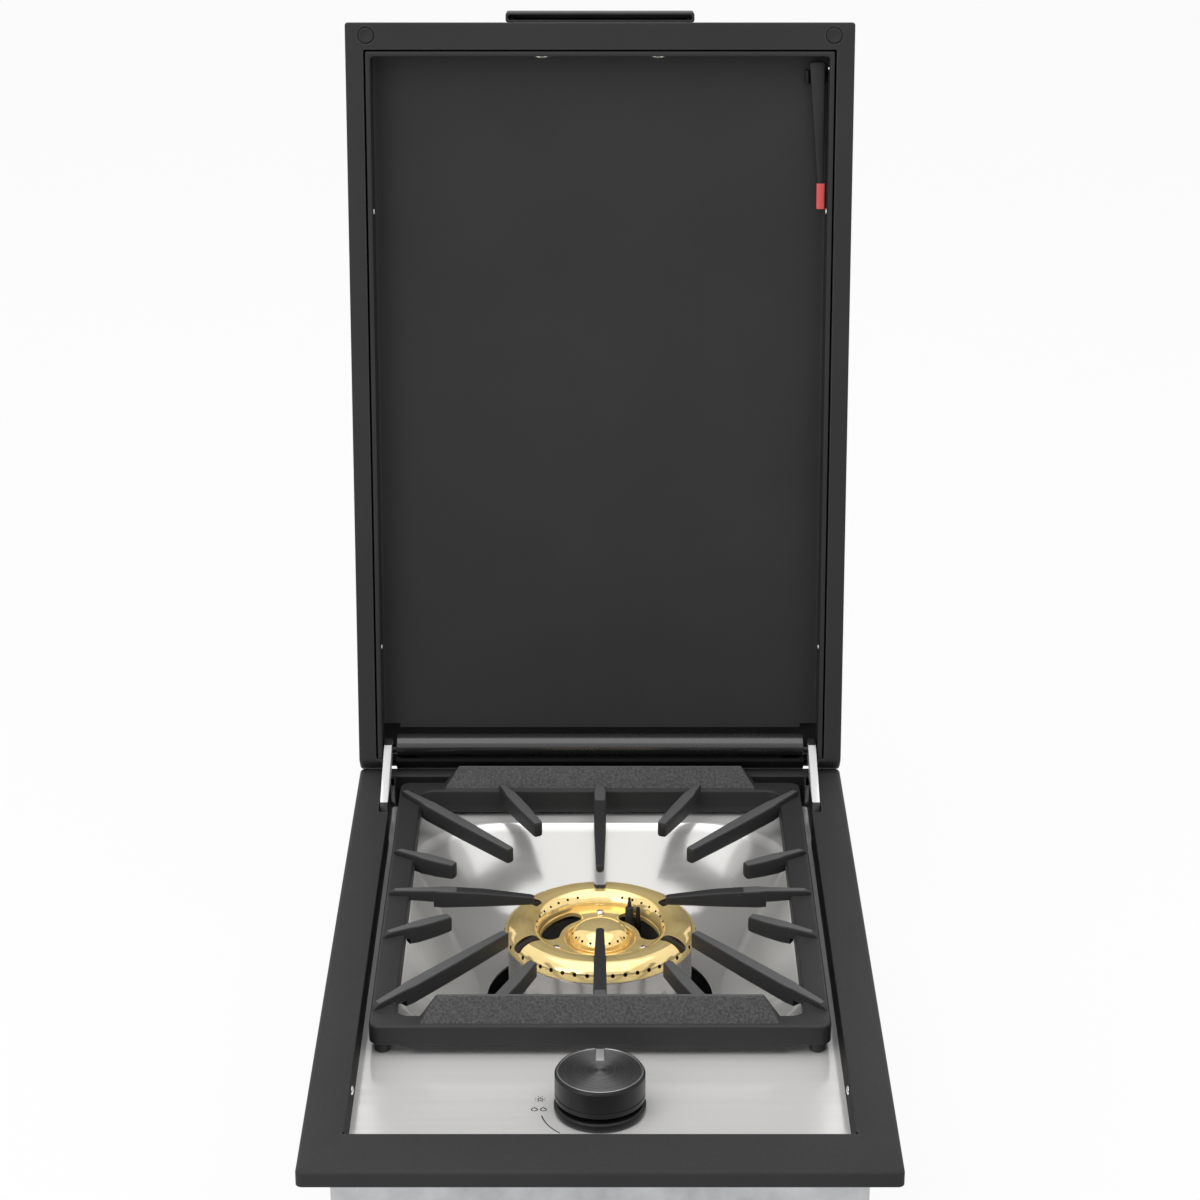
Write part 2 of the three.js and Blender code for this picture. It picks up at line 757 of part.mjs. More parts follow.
// Burner ring: a hollow brass ring, open below, with a web and six notches
function burnerRing() {
  const midZ = topZ - ringMidDrop;
  const arc = (halfWidth, halfHeight, from, to, steps) => {
    const points = [];
    for (let i = 0; i <= steps; i += 1) {
      const angle = THREE.MathUtils.degToRad(from + ((to - from) * i) / steps);
      points.push([ringRadius + halfWidth * Math.cos(angle), midZ + halfHeight * Math.sin(angle)]);
    }
    return points;
  };
  const outerArc = arc(ringHalfWidth, ringHalfHeight, -ringLegAngle, 180 + ringLegAngle, ringOuterSteps);
  const innerHalfWidth = ringHalfWidth - ringWall;
  const innerHalfHeight = ringHalfHeight - ringWall;
  const innerArc = arc(innerHalfWidth, innerHalfHeight, 180 + ringLegAngle, -ringLegAngle, ringInnerSteps);
  const shell = turned([...outerArc, ...innerArc], fineSteps, 0, burnerY);
  const filled = turned(outerArc, fineSteps, 0, burnerY);
  const legAngle = THREE.MathUtils.degToRad(ringLegAngle);
  const webOuter = ringRadius - ringHalfWidth * Math.cos(legAngle);
  const webOutline = [
    [webHoleRadius, webTopZ - webThickness],
    [webOuter, webTopZ - webThickness],
    [webOuter, webTopZ],
    [webHoleRadius, webTopZ],
  ];
  const web = turned(webOutline, fineSteps, 0, burnerY);
  const notchInner = ringRadius + ringHalfWidth - ringNotchReach;
  const notchFloor = midZ + ringHalfHeight - ringNotchDepth;
  const outerReach = ringRadius + ringHalfWidth + overrun;
  const backing = [];
  const notches = [];
  for (let i = 0; i < 6; i += 1) {
    const turn = (wide, inner, floor) => block(
      inner,
      outerReach,
      -wide / 2,
      wide / 2,
      floor,
      topZ,
    ).rotate([0, 0, 30 + 60 * i]).translate([0, burnerY, 0]);
    const wide = ringNotchWidth + 2 * ringWall;
    backing.push(filled.intersect(turn(wide, notchInner - ringWall, notchFloor - ringWall)));
    notches.push(turn(ringNotchWidth, notchInner, notchFloor));
  }
  const screwHole = opened(ringScrewShank + boltClearance);
  const holes = screwPlaces().map(([x, y]) => rod(screwHole, x, y, cupFloorZ, topZ));
  const windows = windowCuts(webTopZ - webThickness - overrun, webTopZ + overrun, windowAngles);
  const whole = join([shell, ...backing]).add(cut(web, windows));
  return cut(whole, [...notches, ...holes]);
}

// Kidney-shaped cuts round the burner axis, each about an angle counted from +X
function windowCuts(z0, z1, middles) {
  return middles.map((middle) => {
    const from = THREE.MathUtils.degToRad(middle - windowAngle / 2);
    const to = THREE.MathUtils.degToRad(middle + windowAngle / 2);
    const shape = new THREE.Shape();
    shape.absarc(0, 0, windowOuter, from, to);
    shape.absarc(0, 0, windowInner, to, from, true);
    shape.closePath();
    return slab(shape, burnerY, z0, z1);
  });
}

function screwPlaces() {
  return [0, 120, 240].map((degrees) => atClock(ringScrewCircle, degrees));
}

function ringScrew(x, y) {
  const seat = webTopZ + restGap;
  const outline = [
    [0, seat - ringScrewLength],
    [ringScrewShank, seat - ringScrewLength],
    [ringScrewShank, seat],
    ...dome(ringScrewHead, ringScrewHeadHeight, seat),
  ];
  return turned(outline, smallSteps, x, y);
}

// Burner cap: the dome over the simmer burner, standing in the web
function burnerCap() {
  const seat = webTopZ + restGap;
  const spigot = webHoleRadius - restGap;
  const outline = [
    [0, seat - capStemLength],
    [spigot, seat - capStemLength],
    [spigot, seat],
    [capRadius, seat],
    ...dome(capRadius, capHeight - capSkirt, seat + capSkirt),
  ];
  return turned(outline, fineSteps, 0, burnerY);
}

// Burner cup: an annular trough for the ring and a bore for the simmer mixture
function burnerCup() {
  const bottom = cupFloorZ;
  const floor = cupFloorZ + cupWall;
  const innerWall = cupInnerRadius + cupWall;
  const boreWall = cupCentreBore + cupWall;
  const boreTop = webTopZ - webThickness - capStemLength;
  const bossTop = webTopZ - webThickness - restGap;
  const outline = [
    [cupRadius, bottom],
    [cupRadius, cupTopZ],
    [cupRadius - cupWall, cupTopZ],
    [cupRadius - cupWall, floor],
    [innerWall, floor],
    [innerWall, bossTop],
    [cupInnerRadius, bossTop],
    [cupInnerRadius, floor],
    [boreWall, floor],
    [boreWall, boreTop],
    [cupCentreBore, boreTop],
    [cupCentreBore, bottom],
  ];
  const cup = turned(outline, fineSteps, 0, burnerY);
  const tapped = bossTop - ringScrewLength;
  const bosses = screwPlaces().map(([x, y]) => {
    const post = rod(ringScrewHead, x, y, bottom, bossTop);
    return post.subtract(rod(opened(ringScrewShank + boltClearance), x, y, tapped, bossTop + overrun));
  });
  const [probeX, probeY] = atClock(electrodeCircle, electrodeClock);
  const [coupleX, coupleY] = atClock(electrodeCircle, coupleClock);
  const [z0, z1] = [bottom - overrun, floor + overrun];
  const windows = windowCuts(z0, z1, windowAngles.slice(1));
  const probeCut = rod(opened(electrodeRadius + restGap), probeX, probeY, z0, z1);
  const coupleCut = rod(opened(coupleRadius + restGap), coupleX, coupleY, z0, z1);
  const inlet = mainVenturiPlace();
  const inletRadius = opened(mainVenturiRadius + restGap, roundSteps);
  const inletCut = rod(inletRadius, inlet.x, inlet.y, z0, z1, roundSteps);
  return cut(cup, [...windows, inletCut, probeCut, coupleCut]).add(join(bosses));
}

function mainVenturiPlace() {
  const trough = (cupRadius + cupInnerRadius) / 2;
  const x = -mainVenturiOffset;
  return { x, y: burnerY - Math.sqrt(trough * trough - x * x) };
}

// A mixing tube that runs back under the burner and turns up into it
function venturi(x, endY, radius) {
  const corners = [
    new THREE.Vector3(x, venturiFrontY, venturiZ),
    new THREE.Vector3(x, endY, venturiZ),
    new THREE.Vector3(x, endY, cupFloorZ + venturiSeat),
  ];
  const route = roundedRoute(corners, Math.max(venturiBend, radius + restGap));
  return pipe(route, radius, radius - venturiWall, venturiSides, venturiSteps);
}

// Jet: a hexagon with a nozzle, screwed through the jet plate
function jet(x) {
  const outline = [
    [0, 0],
    [jetRadius, 0],
    [jetRadius, jetHexLength],
    [jetNeckRadius, jetShoulderLength],
    [jetTipRadius, jetLength],
    [0, jetLength],
  ];
  return turned(outline, smallSteps).rotate([-90, 0, 0]).translate([x, jetFrontY, venturiZ]);
}

function jetPlate() {
  const [y0, y1] = [jetPlateY - jetPlateSheet / 2, jetPlateY + jetPlateSheet / 2];
  const floor = boxFloorZ + restGap;
  const half = jetPlateWidth / 2;
  const mid = -mainVenturiOffset / 2;
  const upright = block(mid - half, mid + half, y0, y1, floor, floor + jetPlateHeight);
  const foot = block(mid - half, mid + half, y0 - jetFoot, y1, floor, floor + jetPlateSheet);
  const hole = opened(jetRadius + boltClearance);
  const holes = [0, -mainVenturiOffset].map((x) => deepRod(hole, x, y0 - overrun, y1 + overrun, venturiZ));
  return cut(upright.add(foot), holes);
}

// A Z-shaped bracket that stands on the box floor; side is +1 when its shelf points to +X
function zBracket(x, y, shelfZ, side) {
  const floor = boxFloorZ + restGap;
  const top = shelfZ - restGap;
  const [y0, y1] = [y - bracketWidth / 2, y + bracketWidth / 2];
  const ordered = (a, b) => [Math.min(a, b), Math.max(a, b)];
  const [w0, w1] = ordered(x, x + side * bracketSheet);
  const [s0, s1] = ordered(x, x + side * bracketShelf);
  const [f0, f1] = ordered(x - side * bracketShelf, x + side * bracketSheet);
  return join([
    block(w0, w1, y0, y1, floor, top),
    block(s0, s1, y0, y1, top - bracketSheet, top),
    block(f0, f1, y0, y1, floor, floor + bracketSheet),
  ]);
}

// Gas valve: a body with a neck, bored for the stem
function gasValve() {
  const [x0, x1] = [-valveWidth / 2, valveWidth / 2];
  const [y0, y1] = [knobY - valveDepth / 2, knobY + valveDepth / 2];
  const body = block(x0, x1, y0, y1, valveTopZ - valveHeight, valveTopZ);
  const neck = rod(valveNeckRadius, 0, knobY, valveTopZ - overrun, valveNeckZ, roundSteps);
  const boreBottom = valveTopZ - valveHeight / 2;
  const bore = rod(opened(stemRadius + restGap), 0, knobY, boreBottom, valveNeckZ + overrun);
  return body.add(neck).subtract(bore);
}

function valveStem() {
  const bottom = valveTopZ - valveHeight / 2 + pushTravel + restGap;
  const top = knobFaceZ - knobHeight / 2;
  return rod(stemRadius, 0, knobY, bottom, top);
}

function springRetainer() {
  const bore = stemRadius + restGap;
  const outline = [
    [bore, retainerZ],
    [retainerRadius, retainerZ],
    [retainerRadius, retainerZ + retainerHeight],
    [bore, retainerZ + retainerHeight],
  ];
  return turned(outline, roundSteps, 0, knobY);
}

// Valve spring: a helix between the valve neck and the retainer
function valveSpring() {
  const bottom = valveNeckZ + restGap + springWire;
  const top = retainerZ - restGap - springWire;
  const points = [];
  const steps = springTurnSteps * springTurns;
  for (let i = 0; i <= steps; i += 1) {
    const angle = (2 * Math.PI * i) / springTurnSteps;
    const height = bottom + ((top - bottom) * i) / steps;
    const [x, y] = [springRadius * Math.cos(angle), knobY + springRadius * Math.sin(angle)];
    points.push(new THREE.Vector3(x, y, height));
  }
  const coil = new THREE.CatmullRomCurve3(points);
  return pipe(coil, springWire, 0, springSides, steps);
}

function controlKnob() {
  const bottom = knobFootZ - knobHubLength;
  const boreTop = knobFaceZ - knobHeight / 2 + restGap;
  const bore = stemRadius + restGap;
  const faceEdge = knobRadius - knobFaceRadius;
  const outline = [
    [bore, bottom],
    [knobHubRadius, bottom],
    [knobHubRadius, knobFootZ],
    [knobRadius, knobFootZ],
    [knobRadius, knobFaceZ - faceEdge],
    [knobFaceRadius, knobFaceZ],
    [0, knobFaceZ],
    [0, boreTop],
    [bore, boreTop],
    [bore, bottom],
  ];
  const points = outline.map(([radius, height]) => new THREE.Vector2(radius, height));
  const geometry = new THREE.LatheGeometry(points, fineSteps);
  geometry.rotateX(Math.PI / 2);
  geometry.translate(0, knobY, 0);
  const [x0, x1] = [-pointerWidth / 2 - restGap, pointerWidth / 2 + restGap];
  const [y0, y1] = [knobY + knobFaceRadius - pointerLength - restGap, knobY + knobRadius + overrun];
  const slot = block(x0, x1, y0, y1, knobFaceZ - pointerDepth, knobFaceZ + overrun);
  return toSolid(geometry).subtract(slot);
}

function knobPointer() {
  const outer = knobY + knobFaceRadius;
  const bottom = knobFaceZ - pointerDepth + restGap;
  return block(-pointerWidth / 2, pointerWidth / 2, outer - pointerLength, outer, bottom, knobFaceZ);
}

function knobBezel() {
  const bottom = panelZ + restGap;
  const top = panelZ + bezelHeight;
  const bore = knobHubRadius + hubClearance;
  const outline = [
    [bore, bottom],
    [bezelRadius - bezelRound, bottom],
    [bezelRadius, bottom + bezelRound],
    [bezelRadius, top],
    [bore, top],
  ];
  return turned(outline, fineSteps, 0, knobY);
}

// Gas tubes from the valve's rear to the jets
function gasTube(fromX, toX) {
  const start = new THREE.Vector3(fromX, knobY + valveDepth / 2 + restGap, valveTopZ - valveHeight / 2);
  const end = new THREE.Vector3(toX, jetFrontY - restGap, venturiZ);
  const reach = (end.y - start.y) / 3;
  const first = new THREE.Vector3(fromX, start.y + reach, start.z);
  const last = new THREE.Vector3(toX, end.y - reach, end.z);
  const route = new THREE.CubicBezierCurve3(start, first, last, end);
  return pipe(route, gasTubeRadius, 0, tubeSides, gasTubeSteps);
}

function inletPipe() {
  const z = topZ - inletDrop;
  const corners = [
    new THREE.Vector3(-valveWidth / 2 - restGap, knobY, z),
    new THREE.Vector3(-inletPipeSide, knobY, z),
    new THREE.Vector3(-inletPipeSide, boxInnerRear - fittingHexLength - 2 * restGap, z),
  ];
  const route = roundedRoute(corners, inletPipeBend);
  return pipe(route, inletPipeRadius, inletPipeBore, inletPipeSides, inletPipeSteps);
}

// Inlet fitting: a hexagon inside the rear wall, with a stub that passes out through it
function inletFitting() {
  const seat = boxInnerRear - restGap;
  const hexStart = seat - fittingHexLength;
  const z = topZ - inletDrop;
  const hex = turned([
    [fittingBore, hexStart],
    [fittingHexRadius, hexStart],
    [fittingHexRadius, seat],
    [fittingBore, seat],
  ], 6);
  const stub = turned([
    [fittingBore, hexStart],
    [fittingStubRadius, hexStart],
    [fittingStubRadius, seat + fittingStubLength],
    [fittingBore, seat + fittingStubLength],
  ], roundSteps);
  const bore = rod(fittingBore, 0, 0, hexStart - overrun, seat + fittingStubLength + overrun);
  return hex.add(stub).subtract(bore).rotate([-90, 0, 0]).translate([-inletPipeSide, 0, z]);
}

// Ignition parts
function igniter() {
  const [x, y] = atClock(electrodeCircle, electrodeClock);
  const ceramicTop = cupTopZ - cupWall;
  const outline = [
    [0, probeBottomZ],
    [electrodeRadius, probeBottomZ],
    [electrodeRadius, ceramicTop],
    [electrodeTip, ceramicTop + electrodeTip],
    [electrodeTip, topZ - electrodeTopDrop],
    [0, topZ - electrodeTopDrop],
  ];
  return turned(outline, smallSteps, x, y);
}

function thermocouple() {
  const [x, y] = atClock(electrodeCircle, coupleClock);
  return rod(coupleRadius, x, y, probeBottomZ, topZ - coupleTopDrop);
}

function modulePlace() {
  const outer = boxInnerHalf - restGap;
  const y0 = frameFront + moduleFromFront;
  const top = topZ - moduleDrop;
  return { inner: outer - moduleWidth, outer, y0, y1: y0 + moduleDepth, top, bottom: top - moduleHeight };
}

function ignitionModule() {
  const at = modulePlace();
  return block(at.inner, at.outer, at.y0, at.y1, at.bottom, at.top);
}

// A lead that runs to the box floor, back past the jets and up to a probe under the burner
function lead(start, probe, lane) {
  const [x, y] = probe;
  const low = boxFloorZ + bracketSheet + 3 * leadRadius;
  const corners = [
    start,
    new THREE.Vector3(lane, start.y, start.z),
    new THREE.Vector3(lane, jetPlateY, low),
    new THREE.Vector3(lane, y - leadBend, low),
    new THREE.Vector3(x, y, low + leadBend),
    new THREE.Vector3(x, y, probeBottomZ - restGap),
  ];
  return pipe(roundedRoute(corners, leadBend), leadRadius, 0, leadSides, leadSteps);
}

function igniterLead() {
  const at = modulePlace();
  const start = new THREE.Vector3(at.inner - restGap, (at.y0 + at.y1) / 2, (at.top + at.bottom) / 2);
  return lead(start, atClock(electrodeCircle, electrodeClock), leadLane);
}

function thermocoupleLead() {
  const z = valveTopZ - valveHeight / 4;
  const start = new THREE.Vector3(valveWidth / 2 + restGap, knobY, z);
  return lead(start, atClock(electrodeCircle, coupleClock), leadLane + 5 * leadRadius);
}

// Pan grate: one casting of rails, fingers, end blocks and feet
function panGrate() {
  const top = topZ - railTopDrop;
  const bottom = top - railHeight;
  const [halfX, halfY] = [grateWidth / 2, grateDepth / 2];
  const hole = roundedRect(grateWidth - 2 * grateSideRail, grateDepth - 2 * grateEndRail, grateRound);
  const rails = slab(roundedRect(grateWidth, grateDepth, grateRound), burnerY, bottom, top)
    .subtract(slab(hole, burnerY, bottom - overrun, top + overrun));
  const solids = [rails];
  for (const [x, y] of [[1, 1], [-1, 1], [1, -1], [-1, -1]]) {
    const [footX, footY] = [x * (halfX - footInset), burnerY + y * (halfY - footInset)];
    solids.push(rod(footRadius, footX, footY, panelZ + restGap, bottom + overrun));
  }
  for (const front of [burnerY - halfY, burnerY + halfY - grateEndRail]) {
    solids.push(endBlock(front, top));
  }
  const endRoot = halfY - grateEndRail + fingerBury;
  const sideRoot = halfX - grateSideRail + fingerBury;
  const sideShortTipX = halfX - sideShortTipInset;
  const endShortTipY = halfY - endShortTipInset;
  const rootShares = { corner: 0.86, sideShort: 0.33, endShort: 0.48 };
  for (const sy of [1, -1]) {
    solids.push(finger([0, sy * endRoot], [0, sy * centreTipReach]));
  }
  for (const sx of [1, -1]) {
    solids.push(finger([sx * sideRoot, 0], [sx * sideTipReach, 0]));
    for (const sy of [1, -1]) {
      const cornerRoot = [sx * sideRoot, sy * halfY * rootShares.corner];
      solids.push(finger(cornerRoot, [sx * cornerTipX, sy * cornerTipY]));
      const sideShortRoot = [sx * sideRoot, sy * halfY * rootShares.sideShort];
      solids.push(finger(sideShortRoot, [sx * sideShortTipX, sy * sideShortTipY]));
      const endShortRoot = [sx * halfX * rootShares.endShort, sy * endRoot];
      solids.push(finger(endShortRoot, [sx * endShortTipX, sy * endShortTipY]));
    }
  }
  return join(solids);
}

// A tapered grate finger between two places measured from the burner axis
function finger(root, tip) {
  const top = topZ - railTopDrop + fingerRise;
  const bottom = topZ - railTopDrop - railHeight;
  const run = Math.hypot(tip[0] - root[0], tip[1] - root[1]);
  const [ux, uy] = [(tip[0] - root[0]) / run, (tip[1] - root[1]) / run];
  const [a, b] = [fingerRootWidth / 2, fingerTipWidth / 2];
  const corner = (place, wide, z) => [place[0] - uy * wide, burnerY + place[1] + ux * wide, z];
  const foot = top - fingerTipHeight;
  const around = (rootZ, tipZ) => [
    corner(root, -a, rootZ),
    corner(tip, -b, tipZ),
    corner(tip, b, tipZ),
    corner(root, a, rootZ),
  ];
  return sixFaces(around(bottom, foot), around(top, top));
}

// A raised block on an end rail, sloping up from its front edge to a ridge at the back
function endBlock(front, railTop) {
  const a = grateWidth / 2 - blockSideInset;
  const b = a - blockSideSlope;
  const rear = front + grateEndRail;
  const low = railTop - overrun;
  const ridge = railTop + blockRise;
  const lower = [[-a, front, low], [a, front, low], [a, rear, low], [-a, rear, low]];
  const crest = rear - blockTopDepth;
  const upper = [[-b, crest, ridge], [b, crest, ridge], [b, rear, ridge], [-b, rear, ridge]];
  return sixFaces(lower, upper);
}

// Hinge arm: a polished plate from its leg in the box up to the hinge pin behind the frame
function hingeArm() {
  const slotFront = frameRear - armSlotFromRear;
  const legRear = slotFront + armLegWidth;
  const legBottom = topZ - armLegDrop;
  const shoulder = topZ - armLegStart;
  const dropAngle = Math.atan2(pivotRise, pivotY - slotFront);
  const headStart = THREE.MathUtils.degToRad(armHeadStartAngle);
  const shape = new THREE.Shape();
  shape.moveTo(slotFront, legBottom);
  shape.lineTo(legRear, legBottom);
  shape.lineTo(legRear, shoulder);
  shape.lineTo(openingRear - restGap - armHeadRadius / 2, topZ);
  shape.absarc(pivotY, pivotZ, armHeadRadius, headStart, Math.PI / 2 + dropAngle);
  shape.lineTo(slotFront + armHeadRadius / 2, topZ);
  shape.lineTo(slotFront, shoulder);
  shape.closePath();
  const plate = sideRun(shape, armInner, armOuter, armHeadSteps);
  const [x0, x1] = [armInner - overrun, armOuter + overrun];
  const tools = [crossRod(opened(pinBore, roundSteps), x0, x1, pivotY, pivotZ, roundSteps)];
  for (const y of armBoltPlaces()) {
    const hole = opened(armBoltRadius + boltClearance, boltSteps);
    tools.push(crossRod(hole, x0, x1, y, topZ - armBoltDrop, boltSteps));
  }
  return cut(plate, tools);
}

// Arm bolt: head inside the arm, nut outside the box wall
function armBolt(y) {
  const head = armInner - restGap;
  const nut = boxOuterHalf + restGap;
  const outline = [
    [0, head - armBoltHeadHeight],
    [armBoltHead, head - armBoltHeadHeight],
    [armBoltHead, head],
    [armBoltRadius, head],
    [armBoltRadius, nut],
    [armBoltHead, nut],
    [armBoltHead, nut + armNutHeight],
    [0, nut + armNutHeight],
  ];
  return turned(outline, boltSteps).rotate([0, 90, 0]).translate([0, y, topZ - armBoltDrop]);
}

// Side outline of the closed lid, drawn in by a margin
function lidOutline(margin) {
  const [y0, y1] = [lidFront + margin, lidPastPivot - margin];
  const [z0, z1] = [rimZ + margin, lidTopZ - margin];
  const rear = Math.max(lidRearRound - margin, frameSheet);
  const edge = Math.max(lidEdgeRound - margin, frameSheet);
  const shape = new THREE.Shape();
  shape.moveTo(y0 + edge, z0);
  shape.lineTo(y1 - rear, z0);
  shape.absarc(y1 - rear, z0 + rear, rear, -Math.PI / 2, 0);
  shape.lineTo(y1, z1 - edge);
  shape.absarc(y1 - edge, z1 - edge, edge, 0, Math.PI / 2);
  shape.lineTo(y0 + edge, z1);
  shape.absarc(y0 + edge, z1 - edge, edge, Math.PI / 2, Math.PI);
  shape.lineTo(y0, z0 + edge);
  shape.absarc(y0 + edge, z0 + edge, edge, Math.PI, 1.5 * Math.PI);
  shape.closePath();
  return shape;
}

// Lid shell: the outer skin, its rim and the inner return that guards the liner
function lidShell() {
  const outer = sideRun(lidOutline(0), -lidHalf, lidHalf);
  const inner = sideRun(lidOutline(lidSheet), -lidHalf + lidSheet, lidHalf - lidSheet);
  const rimTop = rimZ + lidSheet + overrun;
  const window = block(-rimWindowHalf, rimWindowHalf, windowFront, windowRear, rimZ - overrun, rimTop);
  const skin = cut(outer, [inner, window]);
  const returnOuter = rimWindowHalf + rimReturnSheet;
  const returnTop = rimZ + rimReturn;
  const returnBase = rimZ + lidSheet / 2;
  const wallRun = block(
    -returnOuter,
    returnOuter,
    windowFront - rimReturnSheet,
    windowRear,
    returnBase,
    returnTop,
  );
  const roomTop = returnTop + overrun;
  const wallRoom = block(-rimWindowHalf, rimWindowHalf, windowFront, windowRear + overrun, rimZ, roomTop);
  const returns = wallRun.subtract(wallRoom);
  const tools = [];
  const notchTop = armHeadRadius + armNotchRoom;
  const [n0, n1] = [tubeHalf + restGap, armOuter + armNotchRoom];
  const notch = block(n0, n1, windowRear - overrun, lidPastPivot + overrun, rimZ - overrun, notchTop);
  tools.push(notch, mirrored(notch));
  for (const side of [1, -1]) {
    const [x, y] = bumperPlace(side);
    tools.push(rod(opened(bumperStem + restGap), x, y, rimZ - overrun, rimZ + lidSheet + overrun));
    for (const screwY of linerScrewPlaces()) {
      const [x0, x1] = [rimWindowHalf - overrun, returnOuter + overrun];
      const hole = crossRod(opened(linerScrewShank + restGap), x0, x1, screwY, rimZ + linerScrewDepth);
      tools.push(side > 0 ? hole : mirrored(hole));
    }
  }
  const [h0, h1] = [-handleWidth / 2 + handleWall * 2, handleWidth / 2 - handleWall * 2];
  const [studFront, studRear] = [lidFront - overrun, lidFront + lidSheet + overrun];
  for (const x of [h0, h1]) {
    tools.push(deepRod(opened(handleWall / 2 + restGap), x, studFront, studRear, handleMidZ()));
  }
  return cut(skin.add(returns), tools);
}

function handleMidZ() {
  return rimZ + handleFromRim + handleHeight / 2;
}

function bumperPlace(side) {
  return [side * (lidHalf - bumperSideInset), lidFront + bumperFrontInset];
}

function linerScrewPlaces() {
  return [lidPastPivot - lowScrewFromRear, lidFront + highScrewFromFront];
}

// Lid liner: a shallow tray with hemmed walls, cut away at the hinge
function lidLiner() {
  const lipTop = rimZ + linerSheet;
  const faceBack = linerFaceZ + linerSheet;
  const outer = block(-linerHalf, linerHalf, linerFront, linerRear, rimZ, faceBack);
  const wallIn = linerInnerHalf;
  const wallOut = linerInnerHalf + linerSheet;
  const room = block(-wallIn, wallIn, linerInnerFront, linerRear + overrun, rimZ - overrun, linerFaceZ);
  const behind = linerHalf + overrun;
  const hemInner = linerHalf - linerSheet;
  const frontWall = linerInnerFront - linerSheet;
  const hemFront = linerFront + linerSheet;
  const shell = outer.subtract(room);
  const past = linerRear + overrun;
  const below = rimZ - overrun;
  const beyond = lidTopZ + overrun;
  const core = block(-wallOut, wallOut, frontWall, past, below, beyond);
  const channel = block(-hemInner, hemInner, hemFront, past, lipTop, lidTopZ).subtract(core);
  const above = block(-behind, behind, linerFront - overrun, past, rimZ + linerHem, lidTopZ).subtract(core);
  const pastEnd = block(-wallIn, wallIn, linerEnd, past, below, lidTopZ);
  const armRoom = block(armCutInner, wallIn, linerEnd - linerHem / 2, linerRear, rimZ, lidTopZ);
  const lipTopAtRear = rimZ + lidRearRound;
  const rearLip = block(-behind, behind, windowRear - linerGap, past, below, lipTopAtRear);
  const tools = [channel, above, pastEnd, armRoom, mirrored(armRoom), rearLip];
  const reach = linerHalf + overrun;
  tools.push(crossRod(opened(pinBore, roundSteps), -reach, reach, 0, 0, roundSteps));
  for (const y of linerScrewPlaces()) {
    tools.push(crossRod(opened(linerScrewShank + restGap), -reach, reach, y, rimZ + linerScrewDepth));
  }
  const backTop = lidTopZ - lidSheet - restGap;
  const backWall = block(-armCutInner, armCutInner, linerEnd - linerSheet, linerEnd, linerFaceZ, backTop);
  return cut(shell, tools).add(backWall);
}

// Hinge tube: a plain tube between the arms
function hingeTube() {
  const bore = hingeTubeRadius - hingeTubeWall;
  const outline = [
    [bore, -tubeHalf],
    [hingeTubeRadius, -tubeHalf],
    [hingeTubeRadius, tubeHalf],
    [bore, tubeHalf],
  ];
  return turned(outline, roundSteps).rotate([0, 90, 0]);
}

// Pivot pin: plugged into the tube, through the arm, and headed behind the liner wall
function pivotPin() {
  const plugEnd = tubeHalf - restGap;
  const wallOut = linerInnerHalf + linerSheet + restGap;
  const outline = [
    [0, plugEnd - pinPlugLength],
    [pinPlugRadius, plugEnd - pinPlugLength],
    [pinPlugRadius, plugEnd],
    [pinRadius, plugEnd],
    [pinRadius, wallOut],
    [pinHeadRadius, wallOut],
    [pinHeadRadius, wallOut + pinHeadHeight],
    [0, wallOut + pinHeadHeight],
  ];
  return turned(outline, roundSteps).rotate([0, 90, 0]);
}

// Lid handle: a channel with closed ends, open to the rim side
function lidHandle() {
  const back = lidFront - restGap;
  const front = back - handleReach;
  const z0 = rimZ + handleFromRim;
  const z1 = z0 + handleHeight;
  const half = handleWidth / 2;
  const body = block(-half, half, front, back, z0, z1);
  const [r0, r1] = [front + handleWall, back - handleWall];
  const room = block(-half + handleWall, half - handleWall, r0, r1, z0 - overrun, z1 - handleWall);
  const studs = [-half + handleWall * 2, half - handleWall * 2].map((x) => deepRod(
    handleWall / 2,
    x,
    back - overrun,
    lidFront + lidSheet + handleWall,
    handleMidZ(),
  ));
  return body.subtract(room).add(join(studs));
}

function bumper(side) {
  const [x, y] = bumperPlace(side);
  const proud = lidSeatHeight - restGap;
  const outline = [
    [0, rimZ - proud],
    [bumperRadius - bumperRound, rimZ - proud],
    [bumperRadius, rimZ - proud + bumperRound],
    [bumperRadius, rimZ - restGap],
    [bumperStem, rimZ - restGap],
    [bumperStem, rimZ + bumperStemLength],
    [0, rimZ + bumperStemLength],
  ];
  return turned(outline, roundSteps, x, y);
}

function linerScrew(y) {
  const seat = linerInnerHalf - restGap;
  const outline = [
    ...dome(linerScrewHead, -linerScrewHeadHeight, seat).reverse(),
    [linerScrewShank, seat],
    [linerScrewShank, rimWindowHalf + rimReturnSheet + linerSheet],
    [0, rimWindowHalf + rimReturnSheet + linerSheet],
  ];
  return turned(outline, boltSteps).rotate([0, 90, 0]).translate([0, y, rimZ + linerScrewDepth]);
}

// Lighting stick: a tapered blade with a red tip, held by a clip on the liner
function stickPlace() {
  const outer = linerInnerHalf - stickSideRoom;
  const top = lidFront + stickFromFront;
  return { outer, top, bottom: top + stickLength, z0: rimZ + stickDepthInLid };
}

function lightingStick() {
  const at = stickPlace();
  const [z0, z1] = [at.z0, at.z0 + stickThickness];
  const end = at.bottom + tipSocket;
  const corners = (z) => [
    [at.outer - stickRootWidth, at.top, z],
    [at.outer, at.top, z],
    [at.outer, end, z],
    [at.outer - stickTipWidth, end, z],
  ];
  return sixFaces(corners(z0), corners(z1));
}

